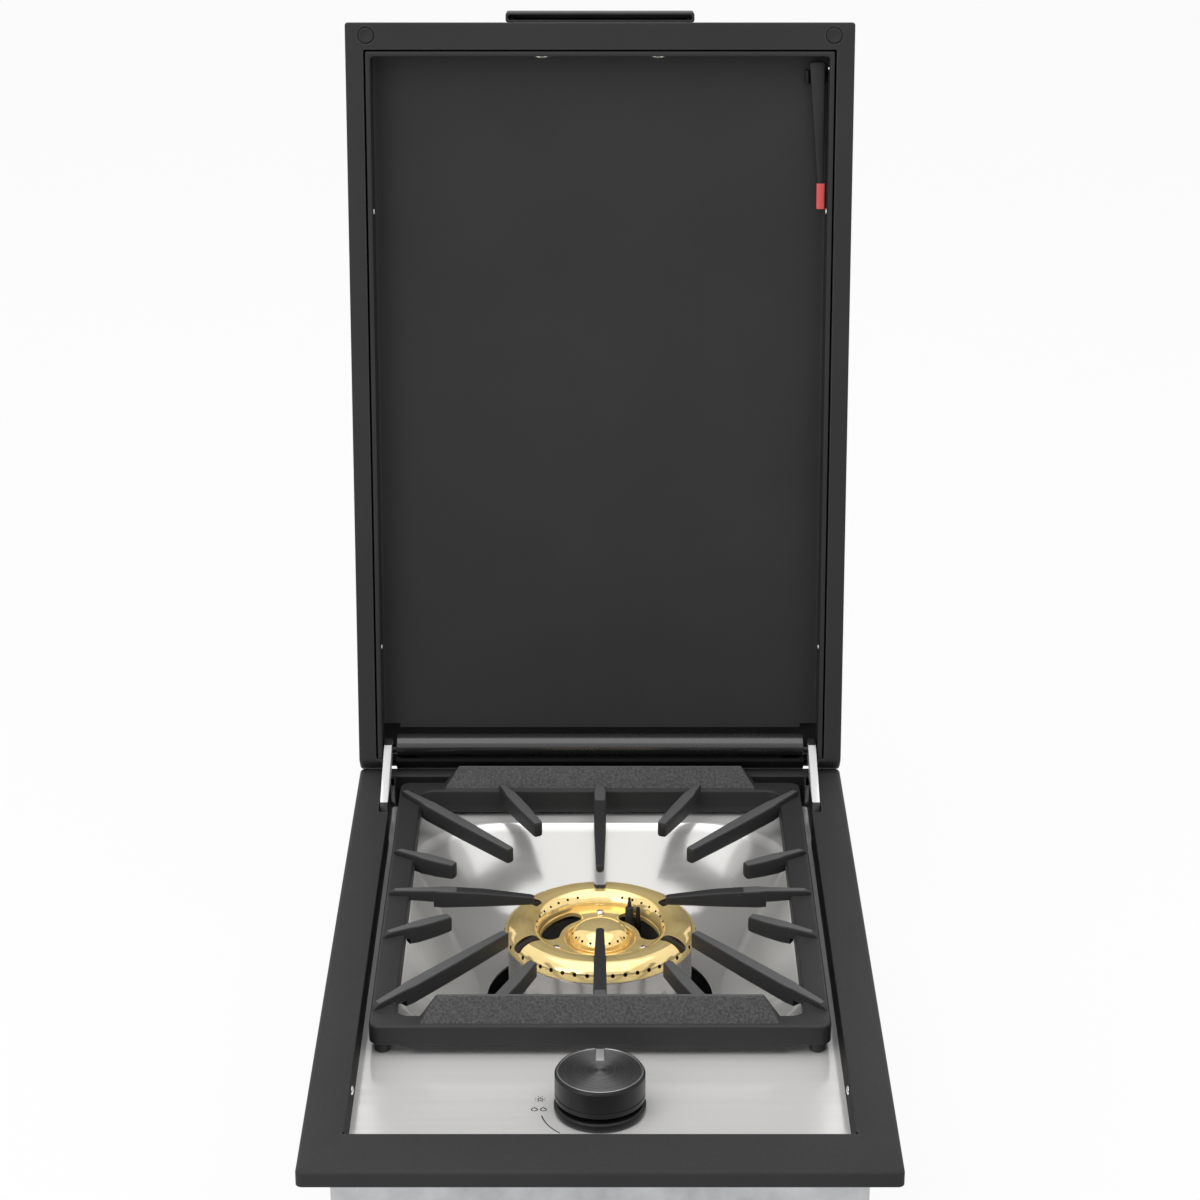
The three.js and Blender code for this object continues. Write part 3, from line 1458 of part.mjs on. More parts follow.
function stickTip() {
  const at = stickPlace();
  const middle = at.outer - stickTipWidth / 2;
  const z = at.z0 + stickThickness / 2;
  const [z0, z1] = [z - tipThickness / 2 - restGap, z + tipThickness / 2 + restGap];
  const body = block(
    middle - tipWidth / 2,
    middle + tipWidth / 2,
    at.bottom,
    at.bottom + tipLength,
    z0,
    z1,
  );
  const socket = block(
    at.outer - stickTipWidth - 2 * restGap,
    at.outer + restGap,
    at.bottom - overrun,
    at.bottom + tipSocket + restGap,
    at.z0 - restGap,
    at.z0 + stickThickness + restGap,
  );
  return body.subtract(socket);
}

function stickClip() {
  const at = stickPlace();
  const y0 = at.top + clipFromTop;
  const y1 = y0 + clipLength;
  const base = linerFaceZ - restGap;
  const outer = at.outer + restGap;
  const inner = at.outer - stickRootWidth - 2 * restGap;
  const face = at.z0 + stickThickness + restGap;
  return join([
    block(inner - clipSheet, outer + clipSheet, y0, y1, base - clipSheet, base),
    block(outer, outer + clipSheet, y0, y1, at.z0, base),
    block(inner - clipSheet, inner, y0, y1, at.z0, base),
    block(inner, inner + 2 * clipSheet, y0, y1, face, base),
  ]);
}

// The whole object
const sideBurner = new THREE.Group();

const base = new THREE.Group();
piece(base, 'burner_box', burnerBox(), zinc);
piece(base, 'trim_frame', trimFrame(), paint);
piece(base, 'cooktop_panel', cooktopPanel(), steel);
piece(base, 'panel_rail_right', panelRail(), zinc);
piece(base, 'panel_rail_left', mirrored(panelRail()), zinc);
piece(base, 'skirt_screw_right', skirtScrew(), polished);
piece(base, 'skirt_screw_left', mirrored(skirtScrew()), polished);
piece(base, 'burner_cup', burnerCup(), steel);
piece(base, 'burner_ring', burnerRing(), brass);
piece(base, 'burner_cap', burnerCap(), brass);
screwPlaces().forEach(([x, y], i) => piece(base, `ring_screw_${i + 1}`, ringScrew(x, y), polished));
const mainInlet = mainVenturiPlace();
piece(base, 'main_venturi', venturi(mainInlet.x, mainInlet.y, mainVenturiRadius), alloy);
piece(base, 'simmer_venturi', venturi(0, burnerY, simmerVenturiRadius), alloy);
piece(base, 'main_jet', jet(-mainVenturiOffset), brass);
piece(base, 'simmer_jet', jet(0), brass);
piece(base, 'jet_plate', jetPlate(), zinc);
piece(base, 'burner_bracket_right', zBracket(burnerBracketOffset, burnerY, cupFloorZ, 1), zinc);
piece(base, 'burner_bracket_left', zBracket(-burnerBracketOffset, burnerY, cupFloorZ, -1), zinc);
piece(base, 'valve_bracket', zBracket(-valveWidth / 2, knobY, valveTopZ - valveHeight, 1), zinc);
piece(base, 'gas_valve', gasValve(), alloy);
piece(base, 'main_gas_tube', gasTube(-valveOutletSpacing / 2, -mainVenturiOffset), alloy);
piece(base, 'simmer_gas_tube', gasTube(valveOutletSpacing / 2, 0), alloy);
piece(base, 'inlet_pipe', inletPipe(), alloy);
piece(base, 'inlet_fitting', inletFitting(), brass);
piece(base, 'knob_bezel', knobBezel(), knobMetal);
piece(base, 'valve_spring', valveSpring(), polished);
piece(base, 'igniter', igniter(), blackPlastic);
piece(base, 'thermocouple', thermocouple(), copper);
piece(base, 'ignition_module', ignitionModule(), blackPlastic);
piece(base, 'igniter_lead', igniterLead(), blackRubber);
piece(base, 'thermocouple_lead', thermocoupleLead(), copper);
piece(base, 'hinge_arm_right', hingeArm(), polished);
piece(base, 'hinge_arm_left', mirrored(hingeArm()), polished);
armBoltPlaces().forEach((y, i) => {
  piece(base, `arm_bolt_right_${i + 1}`, armBolt(y), zinc);
  piece(base, `arm_bolt_left_${i + 1}`, mirrored(armBolt(y)), zinc);
});
sideBurner.add(base);

const valvePush = new THREE.Group();
piece(valvePush, 'spring_retainer', springRetainer(), zinc);
piece(valvePush, 'valve_stem', valveStem(), polished);
piece(valvePush, 'control_knob', controlKnob(), knobMetal);
piece(valvePush, 'knob_pointer', knobPointer(), polished);
sideBurner.add(valvePush);

const grate = new THREE.Group();
piece(grate, 'pan_grate', panGrate(), castIron);
sideBurner.add(grate);

const lid = new THREE.Group();
lid.position.set(0, pivotY, pivotZ);
lid.rotation.x = THREE.MathUtils.degToRad(-openAngle);
piece(lid, 'lid_shell', lidShell(), paint);
piece(lid, 'lid_liner', lidLiner(), linerPaint);
piece(lid, 'hinge_tube', hingeTube(), paint);
piece(lid, 'pivot_pin_right', pivotPin(), polished);
piece(lid, 'pivot_pin_left', mirrored(pivotPin()), polished);
piece(lid, 'lid_handle', lidHandle(), paint);
piece(lid, 'bumper_right', bumper(1), blackRubber);
piece(lid, 'bumper_left', bumper(-1), blackRubber);
linerScrewPlaces().forEach((y, i) => {
  piece(lid, `liner_screw_right_${i + 1}`, linerScrew(y), polished);
  piece(lid, `liner_screw_left_${i + 1}`, mirrored(linerScrew(y)), polished);
});
piece(lid, 'stick_clip', stickClip(), zinc);
piece(lid, 'lighting_stick', lightingStick(), blackPlastic);
piece(lid, 'stick_tip', stickTip(), redPlastic);
sideBurner.add(lid);

export default sideBurner;
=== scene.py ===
# Built-in side burner with its lid open: looks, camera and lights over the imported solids.
# Shapes are written in millimetres, in the frame of the solids: +Z up, +Y from the knob to the
# hinge. Lid pieces are written as in the closed lid, measured from the hinge axis, then swung open.
import json
import math

import bmesh
import bpy
from mathutils import Matrix, Vector


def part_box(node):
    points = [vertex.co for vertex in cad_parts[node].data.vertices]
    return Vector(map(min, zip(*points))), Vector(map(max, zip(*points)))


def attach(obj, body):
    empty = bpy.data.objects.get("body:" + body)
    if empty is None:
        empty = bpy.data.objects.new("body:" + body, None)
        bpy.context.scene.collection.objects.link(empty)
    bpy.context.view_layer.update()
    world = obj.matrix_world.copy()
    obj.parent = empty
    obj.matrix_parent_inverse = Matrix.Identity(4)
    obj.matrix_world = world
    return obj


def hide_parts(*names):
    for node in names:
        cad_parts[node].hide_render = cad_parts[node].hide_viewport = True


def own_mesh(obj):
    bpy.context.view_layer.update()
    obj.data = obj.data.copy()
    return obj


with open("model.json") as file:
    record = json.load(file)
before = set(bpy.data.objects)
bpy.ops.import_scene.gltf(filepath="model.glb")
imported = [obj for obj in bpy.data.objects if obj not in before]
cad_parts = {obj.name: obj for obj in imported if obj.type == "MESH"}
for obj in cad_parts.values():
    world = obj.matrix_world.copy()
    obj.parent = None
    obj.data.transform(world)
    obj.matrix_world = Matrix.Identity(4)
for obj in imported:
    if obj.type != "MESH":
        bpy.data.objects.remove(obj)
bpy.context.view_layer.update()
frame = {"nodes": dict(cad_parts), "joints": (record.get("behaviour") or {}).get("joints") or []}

MM = 0.001
GAP = 0.3           # play between pieces that don't touch
SEAM = 0.37         # where the first step of a turned body lies, as a share of a step
MERGE = 0.0005      # points closer than this are one
SLIVER = 0.0004     # faces thinner than this are dropped


# ---------------------------------------------------------------------------
# Places read from the solids, in millimetres
# ---------------------------------------------------------------------------

def box_mm(node):
    """Lowest and highest corner of a solid."""
    low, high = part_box(node)
    return low / MM, high / MM


def middle(node):
    """Middle of a solid."""
    low, high = box_mm(node)
    return (low + high) / 2


cover_low, cover_high = box_mm("trim_frame")
panel_low, panel_high = box_mm("cooktop_panel")
tub_low = box_mm("burner_box")[0]
grate_low, grate_high = box_mm("pan_grate")
ring_low = box_mm("burner_ring")[0]
cup_low = box_mm("burner_cup")[0]
cap_low = box_mm("burner_cap")[0]
knob_low, knob_high = box_mm("control_knob")
bezel_low, bezel_high = box_mm("knob_bezel")
arm_low, arm_high = box_mm("hinge_arm_right")
tube_high = box_mm("hinge_tube")[1]

burner = middle("burner_ring")
burner_axis = (burner.x, burner.y, 0)
knob_at = middle("control_knob")
top = cover_high.z
panel_top = panel_high.z
side_border = 24.0
front_border = 40.0
rear_border = 14.0
opening_half = cover_high.x - side_border
opening_front = cover_low.y + front_border
opening_rear = cover_high.y - rear_border


def joint_named(name):
    """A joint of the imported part."""
    return next(joint for joint in frame["joints"] if joint["name"] == name)


hinge = joint_named("lid_hinge")
pivot = Vector(hinge["pos_m"]) / MM
OPEN_LID = Matrix.Translation(pivot) @ Matrix.Rotation(-math.radians(hinge["range_deg"][1]), 4, "X")


# ---------------------------------------------------------------------------
# Shapes: each is a pair of points and faces
# ---------------------------------------------------------------------------

def rounded_rect(half, y0, y1, radius, z, steps=8):
    """A ring of points round a rounded rectangle about the middle plane."""
    points = []
    for side, rear, start in ((1, True, 0), (-1, True, 90), (-1, False, 180), (1, False, 270)):
        x = side * (half - radius)
        y = y1 - radius if rear else y0 + radius
        for i in range(steps + 1):
            angle = math.radians(start + 90 * i / steps)
            points.append((x + radius * math.cos(angle), y + radius * math.sin(angle), z))
    return points


def loft(rings, closed=False):
    """A skin through rings of equal count, capped at both ends or closed on itself."""
    count = len(rings[0])
    points = [point for ring in rings for point in ring]
    faces = []
    for k in range(len(rings) if closed else len(rings) - 1):
        m = (k + 1) % len(rings)
        for i in range(count):
            j = (i + 1) % count
            faces.append((k * count + i, k * count + j, m * count + j, m * count + i))
    if not closed:
        last = (len(rings) - 1) * count
        faces.append(tuple(reversed(range(count))))
        faces.append(tuple(last + i for i in range(count)))
    return points, faces


def turned(profile, steps, x=0.0, y=0.0):
    """A body of revolution about an upright axis; a profile off the axis closes on itself."""
    rings = []
    for radius, z in profile:
        ring = []
        for i in range(steps):
            angle = 2 * math.pi * (i + SEAM) / steps
            ring.append((x + radius * math.cos(angle), y + radius * math.sin(angle), z))
        rings.append(ring)
    on_axis = profile[0][0] == 0
    points, faces = loft(rings, closed=not on_axis)
    if on_axis:
        faces = faces[:-2]
    return points, faces


def oval(x, y, wide, tall, start, end, steps):
    """Points on an oval in a plane, from one angle to another in degrees."""
    points = []
    for i in range(steps + 1):
        angle = math.radians(start + (end - start) * i / steps)
        points.append((x + wide * math.cos(angle), y + tall * math.sin(angle)))
    return points


def arc(x, y, radius, start, end, steps):
    """Points on a round arc in a plane."""
    return oval(x, y, radius, radius, start, end, steps)


def block(x0, x1, y0, y1, z0, z1):
    """A plain block, used for cuts and as the core of bevelled pieces."""
    low = [(x0, y0, z0), (x1, y0, z0), (x1, y1, z0), (x0, y1, z0)]
    high = [(x, y, z1) for x, y, _ in low]
    return loft([low, high])


def slab(outline, z0, z1):
    """An outline in plan, raised from one height to another."""
    return loft([[(x, y, z0) for x, y in outline], [(x, y, z1) for x, y in outline]])


def moved(shape, matrix):
    """A shape placed by a matrix."""
    points, faces = shape
    return [tuple(matrix @ Vector(point)) for point in points], faces


def along_x(shape, y, z):
    """A shape turned from the upright axis onto +X, at a height and depth."""
    return moved(shape, Matrix.Translation((0, y, z)) @ Matrix.Rotation(math.pi / 2, 4, "Y"))


def along_y(shape, x, y, z):
    """A shape turned from the upright axis onto +Y, at a place."""
    return moved(shape, Matrix.Translation((x, y, z)) @ Matrix.Rotation(-math.pi / 2, 4, "X"))


def mirrored(shape):
    """A shape on the other side of the middle plane."""
    points, faces = shape
    return [(-x, y, z) for x, y, z in points], [tuple(reversed(face)) for face in faces]


def both_sides(shape):
    """A right-hand shape and its mirror image, each after the word for its side."""
    return (("right", shape), ("left", mirrored(shape)))


def oblong(half, y0, y1, z):
    """Four corners about the middle plane, at one height."""
    return [(-half, y0, z), (half, y0, z), (half, y1, z), (-half, y1, z)]


def facing_inward(shape, x, y, z):
    """An upright shape turned towards the middle plane, on the right-hand side."""
    return moved(mirrored(along_x(shape, y, z)), Matrix.Translation((x, 0, 0)))


def together(shapes):
    """Several shapes in one mesh, without a cut where they meet."""
    points, faces = [], []
    for some_points, some_faces in shapes:
        start = len(points)
        points.extend(some_points)
        faces.extend(tuple(start + i for i in face) for face in some_faces)
    return points, faces


def rod(radius, x, y, z0, z1, steps=24):
    """An upright rod."""
    return turned([(0, z0), (radius, z0), (radius, z1), (0, z1)], steps, x, y)


def smooth_run(values, steps):
    """Values between given ones along a smooth curve."""
    run = []
    last = len(values) - 1
    for k in range(last):
        p0, p1, p2, p3 = values[max(k - 1, 0)], values[k], values[k + 1], values[min(k + 2, last)]
        for i in range(steps):
            t = i / steps
            bend = (2 * p0 - 5 * p1 + 4 * p2 - p3) * t * t
            twist = (3 * p1 - p0 - 3 * p2 + p3) * t * t * t
            run.append(0.5 * (2 * p1 + (p2 - p0) * t + bend + twist))
    return run + [values[-1]]


# ---------------------------------------------------------------------------
# From shapes to objects
# ---------------------------------------------------------------------------

def as_object(name, shape, place=None):
    """An object from a shape in millimetres, merged and with its faces outwards."""
    points, faces = shape
    mesh = bpy.data.meshes.new(name)
    work = bmesh.new()
    corners = [work.verts.new(point) for point in points]
    for face in faces:
        work.faces.new([corners[i] for i in face])
    bmesh.ops.remove_doubles(work, verts=work.verts, dist=MERGE)
    bmesh.ops.dissolve_degenerate(work, edges=work.edges, dist=SLIVER)
    bmesh.ops.recalc_face_normals(work, faces=work.faces)
    if place is not None:
        bmesh.ops.transform(work, matrix=place, verts=work.verts)
    bmesh.ops.scale(work, vec=(MM, MM, MM), verts=work.verts)
    work.to_mesh(mesh)
    work.free()
    made = bpy.data.objects.new(name, mesh)
    bpy.context.scene.collection.objects.link(made)
    return made


def settled(made):
    """Turns an object's modifiers into plain mesh."""
    graph = bpy.context.evaluated_depsgraph_get()
    mesh = bpy.data.meshes.new_from_object(made.evaluated_get(graph), depsgraph=graph)
    made.modifiers.clear()
    before = made.data
    made.data = mesh
    bpy.data.meshes.remove(before)
    return made


def carved(made, shapes, how="DIFFERENCE", place=None):
    """Cuts shapes from an object, or joins or crosses them with it."""
    for shape in shapes:
        tool = shape if isinstance(shape, bpy.types.Object) else as_object("tool", shape, place)
        change = made.modifiers.new("carve", "BOOLEAN")
        change.operation = how
        change.solver = "EXACT"
        change.object = tool
        settled(made)
        bpy.data.objects.remove(tool)
    return made


def bevelled(made, width, segments=2, angle=40.0):
    """Rounds the edges of an object that turn more than an angle."""
    change = made.modifiers.new("bevel", "BEVEL")
    change.width = width * MM
    change.segments = segments
    change.limit_method = "ANGLE"
    change.angle_limit = math.radians(angle)
    return settled(made)


def shaded(made, angle=35.0):
    """Smooth shading, but for edges that turn more than an angle."""
    for face in made.data.polygons:
        face.use_smooth = True
    made.data.set_sharp_from_angle(angle=math.radians(angle))
    return made


def second_look(made, look, chosen):
    """Gives the faces that a test picks a second surface; the test gets centre in millimetres and normal."""
    made.data.materials.append(look.material)
    last = len(made.data.materials) - 1
    for face in made.data.polygons:
        if chosen(face.center / MM, face.normal):
            face.material_index = last
    return made


def placed(made, look, body, nodes=(), angle=35.0):
    """Gives a finished object its surface and its body, and hides the solids it stands for."""
    made.data.materials.clear()
    made.data.materials.append(look.material)
    made.data.name = made.name
    shaded(made, angle)
    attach(made, body)
    if nodes:
        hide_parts(*nodes)
    return made


def numbered(name, count):
    """The names of a piece that comes several times."""
    return [name + "_" + str(i + 1) for i in range(count)]


def open_up(made):
    """Swings an object that was written in the closed lid to the open lid."""
    made.data.transform(Matrix.Scale(MM, 4) @ OPEN_LID @ Matrix.Scale(1 / MM, 4))
    return made


def refined(node, width, angle=30.0):
    """A copy of a solid's mesh with its flat faces joined and its edges rounded."""
    mesh = frame["nodes"][node].data.copy()
    work = bmesh.new()
    work.from_mesh(mesh)
    bmesh.ops.remove_doubles(work, verts=work.verts, dist=1e-6)
    bmesh.ops.dissolve_limit(
        work, angle_limit=math.radians(1), verts=work.verts, edges=work.edges
    )
    work.to_mesh(mesh)
    work.free()
    made = bpy.data.objects.new(node + "_detail", mesh)
    bpy.context.scene.collection.objects.link(made)
    return bevelled(made, width, 2, angle)


# ---------------------------------------------------------------------------
# Trees for repeated shapes
# ---------------------------------------------------------------------------

def add_sockets(group, sockets):
    """Gives a group its named inputs, with their values."""
    for label, kind, value in sockets:
        socket = group.interface.new_socket(label, in_out="INPUT", socket_type="NodeSocket" + kind)
        if value is not None:
            socket.default_value = value


def new_tree(name, sockets):
    """An empty geometry tree with named inputs."""
    tree = bpy.data.node_groups.new(name, "GeometryNodeTree")
    add_sockets(tree, [("Geometry", "Geometry", None), *sockets])
    tree.interface.new_socket("Geometry", in_out="OUTPUT", socket_type="NodeSocketGeometry")
    return tree, tree.nodes.new("NodeGroupInput"), tree.nodes.new("NodeGroupOutput")


def ends_as_mesh(tree, start, inputs, outputs):
    """Realizes instances, sets the material and joins the tree's output."""
    real = tree.nodes.new("GeometryNodeRealizeInstances")
    paint = tree.nodes.new("GeometryNodeSetMaterial")
    tree.links.new(start, real.inputs["Geometry"])
    tree.links.new(real.outputs["Geometry"], paint.inputs["Geometry"])
    tree.links.new(inputs.outputs["Material"], paint.inputs["Material"])
    tree.links.new(paint.outputs["Geometry"], outputs.inputs["Geometry"])


def tree_copies_round():
    """Copies of a shape turned about an upright axis."""
    tree, inputs, outputs = new_tree("copies_round", (
        ("Count", "Int", 6),
        ("First Angle", "Float", 0.0),
        ("Step Angle", "Float", 1.0),
        ("Centre", "Vector", (0, 0, 0)),
        ("Material", "Material", None),
    ))
    points = tree.nodes.new("GeometryNodePoints")
    index = tree.nodes.new("GeometryNodeInputIndex")
    turn = tree.nodes.new("ShaderNodeMath")
    turn.operation = "MULTIPLY_ADD"
    axis = tree.nodes.new("ShaderNodeCombineXYZ")
    copies = tree.nodes.new("GeometryNodeInstanceOnPoints")
    link = tree.links.new
    link(inputs.outputs["Count"], points.inputs["Count"])
    link(inputs.outputs["Centre"], points.inputs["Position"])
    link(index.outputs["Index"], turn.inputs[0])
    link(inputs.outputs["Step Angle"], turn.inputs[1])
    link(inputs.outputs["First Angle"], turn.inputs[2])
    link(turn.outputs[0], axis.inputs["Z"])
    link(points.outputs["Points"], copies.inputs["Points"])
    link(inputs.outputs["Geometry"], copies.inputs["Instance"])
    link(axis.outputs["Vector"], copies.inputs["Rotation"])
    ends_as_mesh(tree, copies.outputs["Instances"], inputs, outputs)
    return tree


def tree_copies_in_row():
    """Copies of a shape, each a step further."""
    tree, inputs, outputs = new_tree("copies_in_row", (
        ("Count", "Int", 2),
        ("Step", "Vector", (0, 0, 0)),
        ("Material", "Material", None),
    ))
    points = tree.nodes.new("GeometryNodePoints")
    index = tree.nodes.new("GeometryNodeInputIndex")
    reach = tree.nodes.new("ShaderNodeVectorMath")
    reach.operation = "SCALE"
    copies = tree.nodes.new("GeometryNodeInstanceOnPoints")
    link = tree.links.new
    link(inputs.outputs["Count"], points.inputs["Count"])
    link(inputs.outputs["Step"], reach.inputs[0])
    link(index.outputs["Index"], reach.inputs["Scale"])
    link(reach.outputs["Vector"], points.inputs["Position"])
    link(points.outputs["Points"], copies.inputs["Points"])
    link(inputs.outputs["Geometry"], copies.inputs["Instance"])
    ends_as_mesh(tree, copies.outputs["Instances"], inputs, outputs)
    return tree


def tree_coil():
    """A round wire wound into a spring about an upright axis."""
    tree, inputs, outputs = new_tree("coil", (
        ("Radius", "Float", 0.01),
        ("Wire", "Float", 0.001),
        ("Turns", "Float", 4.0),
        ("Height", "Float", 0.01),
        ("Foot", "Vector", (0, 0, 0)),
        ("Material", "Material", None),
    ))
    spiral = tree.nodes.new("GeometryNodeCurveSpiral")
    spiral.inputs["Resolution"].default_value = 28
    ring = tree.nodes.new("GeometryNodeCurvePrimitiveCircle")
    ring.inputs["Resolution"].default_value = 10
    wire = tree.nodes.new("GeometryNodeCurveToMesh")
    wire.inputs["Fill Caps"].default_value = True
    shift = tree.nodes.new("GeometryNodeTransform")
    link = tree.links.new
    link(inputs.outputs["Radius"], spiral.inputs["Start Radius"])
    link(inputs.outputs["Radius"], spiral.inputs["End Radius"])
    link(inputs.outputs["Turns"], spiral.inputs["Rotations"])
    link(inputs.outputs["Height"], spiral.inputs["Height"])
    link(inputs.outputs["Wire"], ring.inputs["Radius"])
    link(spiral.outputs["Curve"], wire.inputs["Curve"])
    link(ring.outputs["Curve"], wire.inputs["Profile Curve"])
    link(wire.outputs["Mesh"], shift.inputs["Geometry"])
    link(inputs.outputs["Foot"], shift.inputs["Translation"])
    ends_as_mesh(tree, shift.outputs["Geometry"], inputs, outputs)
    return tree


def grown(made, tree, values):
    """Runs a tree on an object and keeps the mesh that comes out."""
    change = made.modifiers.new("grow", "NODES")
    change.node_group = tree
    for item in tree.interface.items_tree:
        if item.item_type == "SOCKET" and item.in_out == "INPUT" and item.name in values:
            change[item.identifier] = values[item.name]
    return settled(made)


def turn_copies(made, count, first, step, centre, look=None):
    """Turns an object into copies about an upright axis; angles are in degrees."""
    return grown(made, COPIES_ROUND, {
        "Count": count,
        "First Angle": math.radians(first),
        "Step Angle": math.radians(step),
        "Centre": tuple(Vector(centre) * MM),
        "Material": look and look.material,
    })


def round_copies(name, shape, count, first, step, centre):
    """Copies about an upright axis; the shape is written with the axis through the origin."""
    return turn_copies(as_object(name, shape), count, first, step, centre)


def row_of(made, count, step, look=None):
    """Turns an object into copies in a row; the step is in millimetres."""
    return grown(made, COPIES_IN_ROW, {
        "Count": count,
        "Step": tuple(Vector(step) * MM),
        "Material": look and look.material,
    })


COPIES_ROUND = tree_copies_round()
COPIES_IN_ROW = tree_copies_in_row()
COIL = tree_coil()


# ---------------------------------------------------------------------------
# Shared effects for surfaces, as shader groups
# ---------------------------------------------------------------------------

def new_effect(name, sockets, results):
    """An empty shader group with named inputs and outputs, the first input a place."""
    group = bpy.data.node_groups.new(name, "ShaderNodeTree")
    add_sockets(group, [("Vector", "Vector", None), *sockets])
    for label in results:
        group.interface.new_socket(label, in_out="OUTPUT", socket_type="NodeSocketFloat")
    return group, group.nodes.new("NodeGroupInput"), group.nodes.new("NodeGroupOutput")


def math_node(tree, operation, a, b=None, clamp=False):
    """A math node whose inputs are sockets or numbers."""
    node = tree.nodes.new("ShaderNodeMath")
    node.operation = operation
    node.use_clamp = clamp
    for slot, value in enumerate((a, b)):
        if value is None:
            continue
        if isinstance(value, bpy.types.NodeSocket):
            tree.links.new(value, node.inputs[slot])
        else:
            node.inputs[slot].default_value = value
    return node.outputs[0]


def noise_node(tree, vector, scale, detail=3.0):
    """A noise value from about 0 to 1."""
    node = tree.nodes.new("ShaderNodeTexNoise")
    node.inputs["Detail"].default_value = detail
    if isinstance(scale, bpy.types.NodeSocket):
        tree.links.new(scale, node.inputs["Scale"])
    else:
        node.inputs["Scale"].default_value = scale
    tree.links.new(vector, node.inputs["Vector"])
    return node.outputs["Fac"]


def blended(tree, first, second, share):
    """Two values mixed, by the share of the first."""
    return math_node(tree, "ADD", math_node(tree, "MULTIPLY", first, share),
                     math_node(tree, "MULTIPLY", second, 1.0 - share))


def given_out(group, outputs, results):
    """Connects a group's results to its outputs."""
    for label, value in results.items():
        group.links.new(value, outputs.inputs[label])
    return group


def effect_grain():
    """Fine rounded grain of a coating or casting, with slow clouds in its shade."""
    group, inputs, outputs = new_effect("grain", (
        ("Grains per metre", "Float", 1500.0),
        ("Clouds per metre", "Float", 12.0),
    ), ("Height", "Shade"))
    vector = inputs.outputs["Vector"]
    fine = noise_node(group, vector, inputs.outputs["Grains per metre"], 2.0)
    slow = noise_node(group, vector, inputs.outputs["Clouds per metre"], 3.0)
    return given_out(group, outputs, {"Height": fine, "Shade": blended(group, fine, slow, 0.35)})


def two_noises(group, outputs, vector, fineness, wide_share, detail):
    """Fine lines as height, and the same with wider ones as shade."""
    lines = noise_node(group, vector, fineness, detail)
    wide = noise_node(group, vector, math_node(group, "MULTIPLY", fineness, wide_share), detail + 1.0)
    return given_out(group, outputs, {"Height": lines, "Shade": blended(group, lines, wide, 0.5)})


def effect_brushing():
    """Long fine lines along X, as left by a brushing belt."""
    group, inputs, outputs = new_effect("brushing", (
        ("Lines per metre", "Float", 2500.0),
        ("Stretch", "Float", 0.012),
    ), ("Height", "Shade"))
    parts = group.nodes.new("ShaderNodeSeparateXYZ")
    drawn = group.nodes.new("ShaderNodeCombineXYZ")
    group.links.new(inputs.outputs["Vector"], parts.inputs[0])
    short = math_node(group, "MULTIPLY", parts.outputs["X"], inputs.outputs["Stretch"])
    for value, axis in ((short, "X"), (parts.outputs["Y"], "Y"), (parts.outputs["Z"], "Z")):
        group.links.new(value, drawn.inputs[axis])
    lines = inputs.outputs["Lines per metre"]
    return two_noises(group, outputs, drawn.outputs["Vector"], lines, 0.12, 2.0)


def effect_turning():
    """Fine grooves round an upright axis, as left by a lathe."""
    group, inputs, outputs = new_effect("turning", (
        ("Grooves per metre", "Float", 1800.0),
    ), ("Height", "Shade"))
    parts = group.nodes.new("ShaderNodeSeparateXYZ")
    group.links.new(inputs.outputs["Vector"], parts.inputs[0])
    squares = [math_node(group, "MULTIPLY", parts.outputs[axis], parts.outputs[axis]) for axis in "XY"]
    along = group.nodes.new("ShaderNodeCombineXYZ")
    group.links.new(math_node(group, "SQRT", math_node(group, "ADD", *squares)), along.inputs["X"])
    group.links.new(parts.outputs["Z"], along.inputs["Y"])
    grooves = inputs.outputs["Grooves per metre"]
    return two_noises(group, outputs, along.outputs["Vector"], grooves, 0.15, 1.0)


def effect_edge_wear():
    """A mask that is high along worn edges and broken up by noise."""
    group, inputs, outputs = new_effect("edge_wear", (
        ("Reach", "Float", 0.0008),
        ("Amount", "Float", 1.0),
    ), ("Mask",))
    soft = group.nodes.new("ShaderNodeBevel")
    soft.samples = 4
    group.links.new(inputs.outputs["Reach"], soft.inputs["Radius"])
    face = group.nodes.new("ShaderNodeNewGeometry")
    same = group.nodes.new("ShaderNodeVectorMath")
    same.operation = "DOT_PRODUCT"
    group.links.new(soft.outputs["Normal"], same.inputs[0])
    group.links.new(face.outputs["Normal"], same.inputs[1])
    turn = math_node(group, "SUBTRACT", 1.0, same.outputs["Value"])
    patch = noise_node(group, inputs.outputs["Vector"], 140.0, 2.0)
    mask = math_node(group, "MULTIPLY", math_node(group, "MULTIPLY", turn, 7.0), patch)
    whole = math_node(group, "MULTIPLY", mask, inputs.outputs["Amount"], clamp=True)
    return given_out(group, outputs, {"Mask": whole})


def effect_dust():
    """A mask for light dust that settles on faces that look up."""
    group, inputs, outputs = new_effect("dust", (
        ("Amount", "Float", 0.1),
    ), ("Mask",))
    face = group.nodes.new("ShaderNodeNewGeometry")
    parts = group.nodes.new("ShaderNodeSeparateXYZ")
    group.links.new(face.outputs["Normal"], parts.inputs[0])
    upward = math_node(group, "MAXIMUM", parts.outputs["Z"], 0.0)
    specks = noise_node(group, inputs.outputs["Vector"], 420.0, 4.0)
    mask = math_node(group, "MULTIPLY", math_node(group, "MULTIPLY", upward, specks),
                     inputs.outputs["Amount"], clamp=True)
    return given_out(group, outputs, {"Mask": mask})


# The shared effects
GRAIN = effect_grain()
BRUSHING = effect_brushing()
TURNING = effect_turning()
EDGE_WEAR = effect_edge_wear()
DUST = effect_dust()


# ---------------------------------------------------------------------------
# Surfaces
# ---------------------------------------------------------------------------

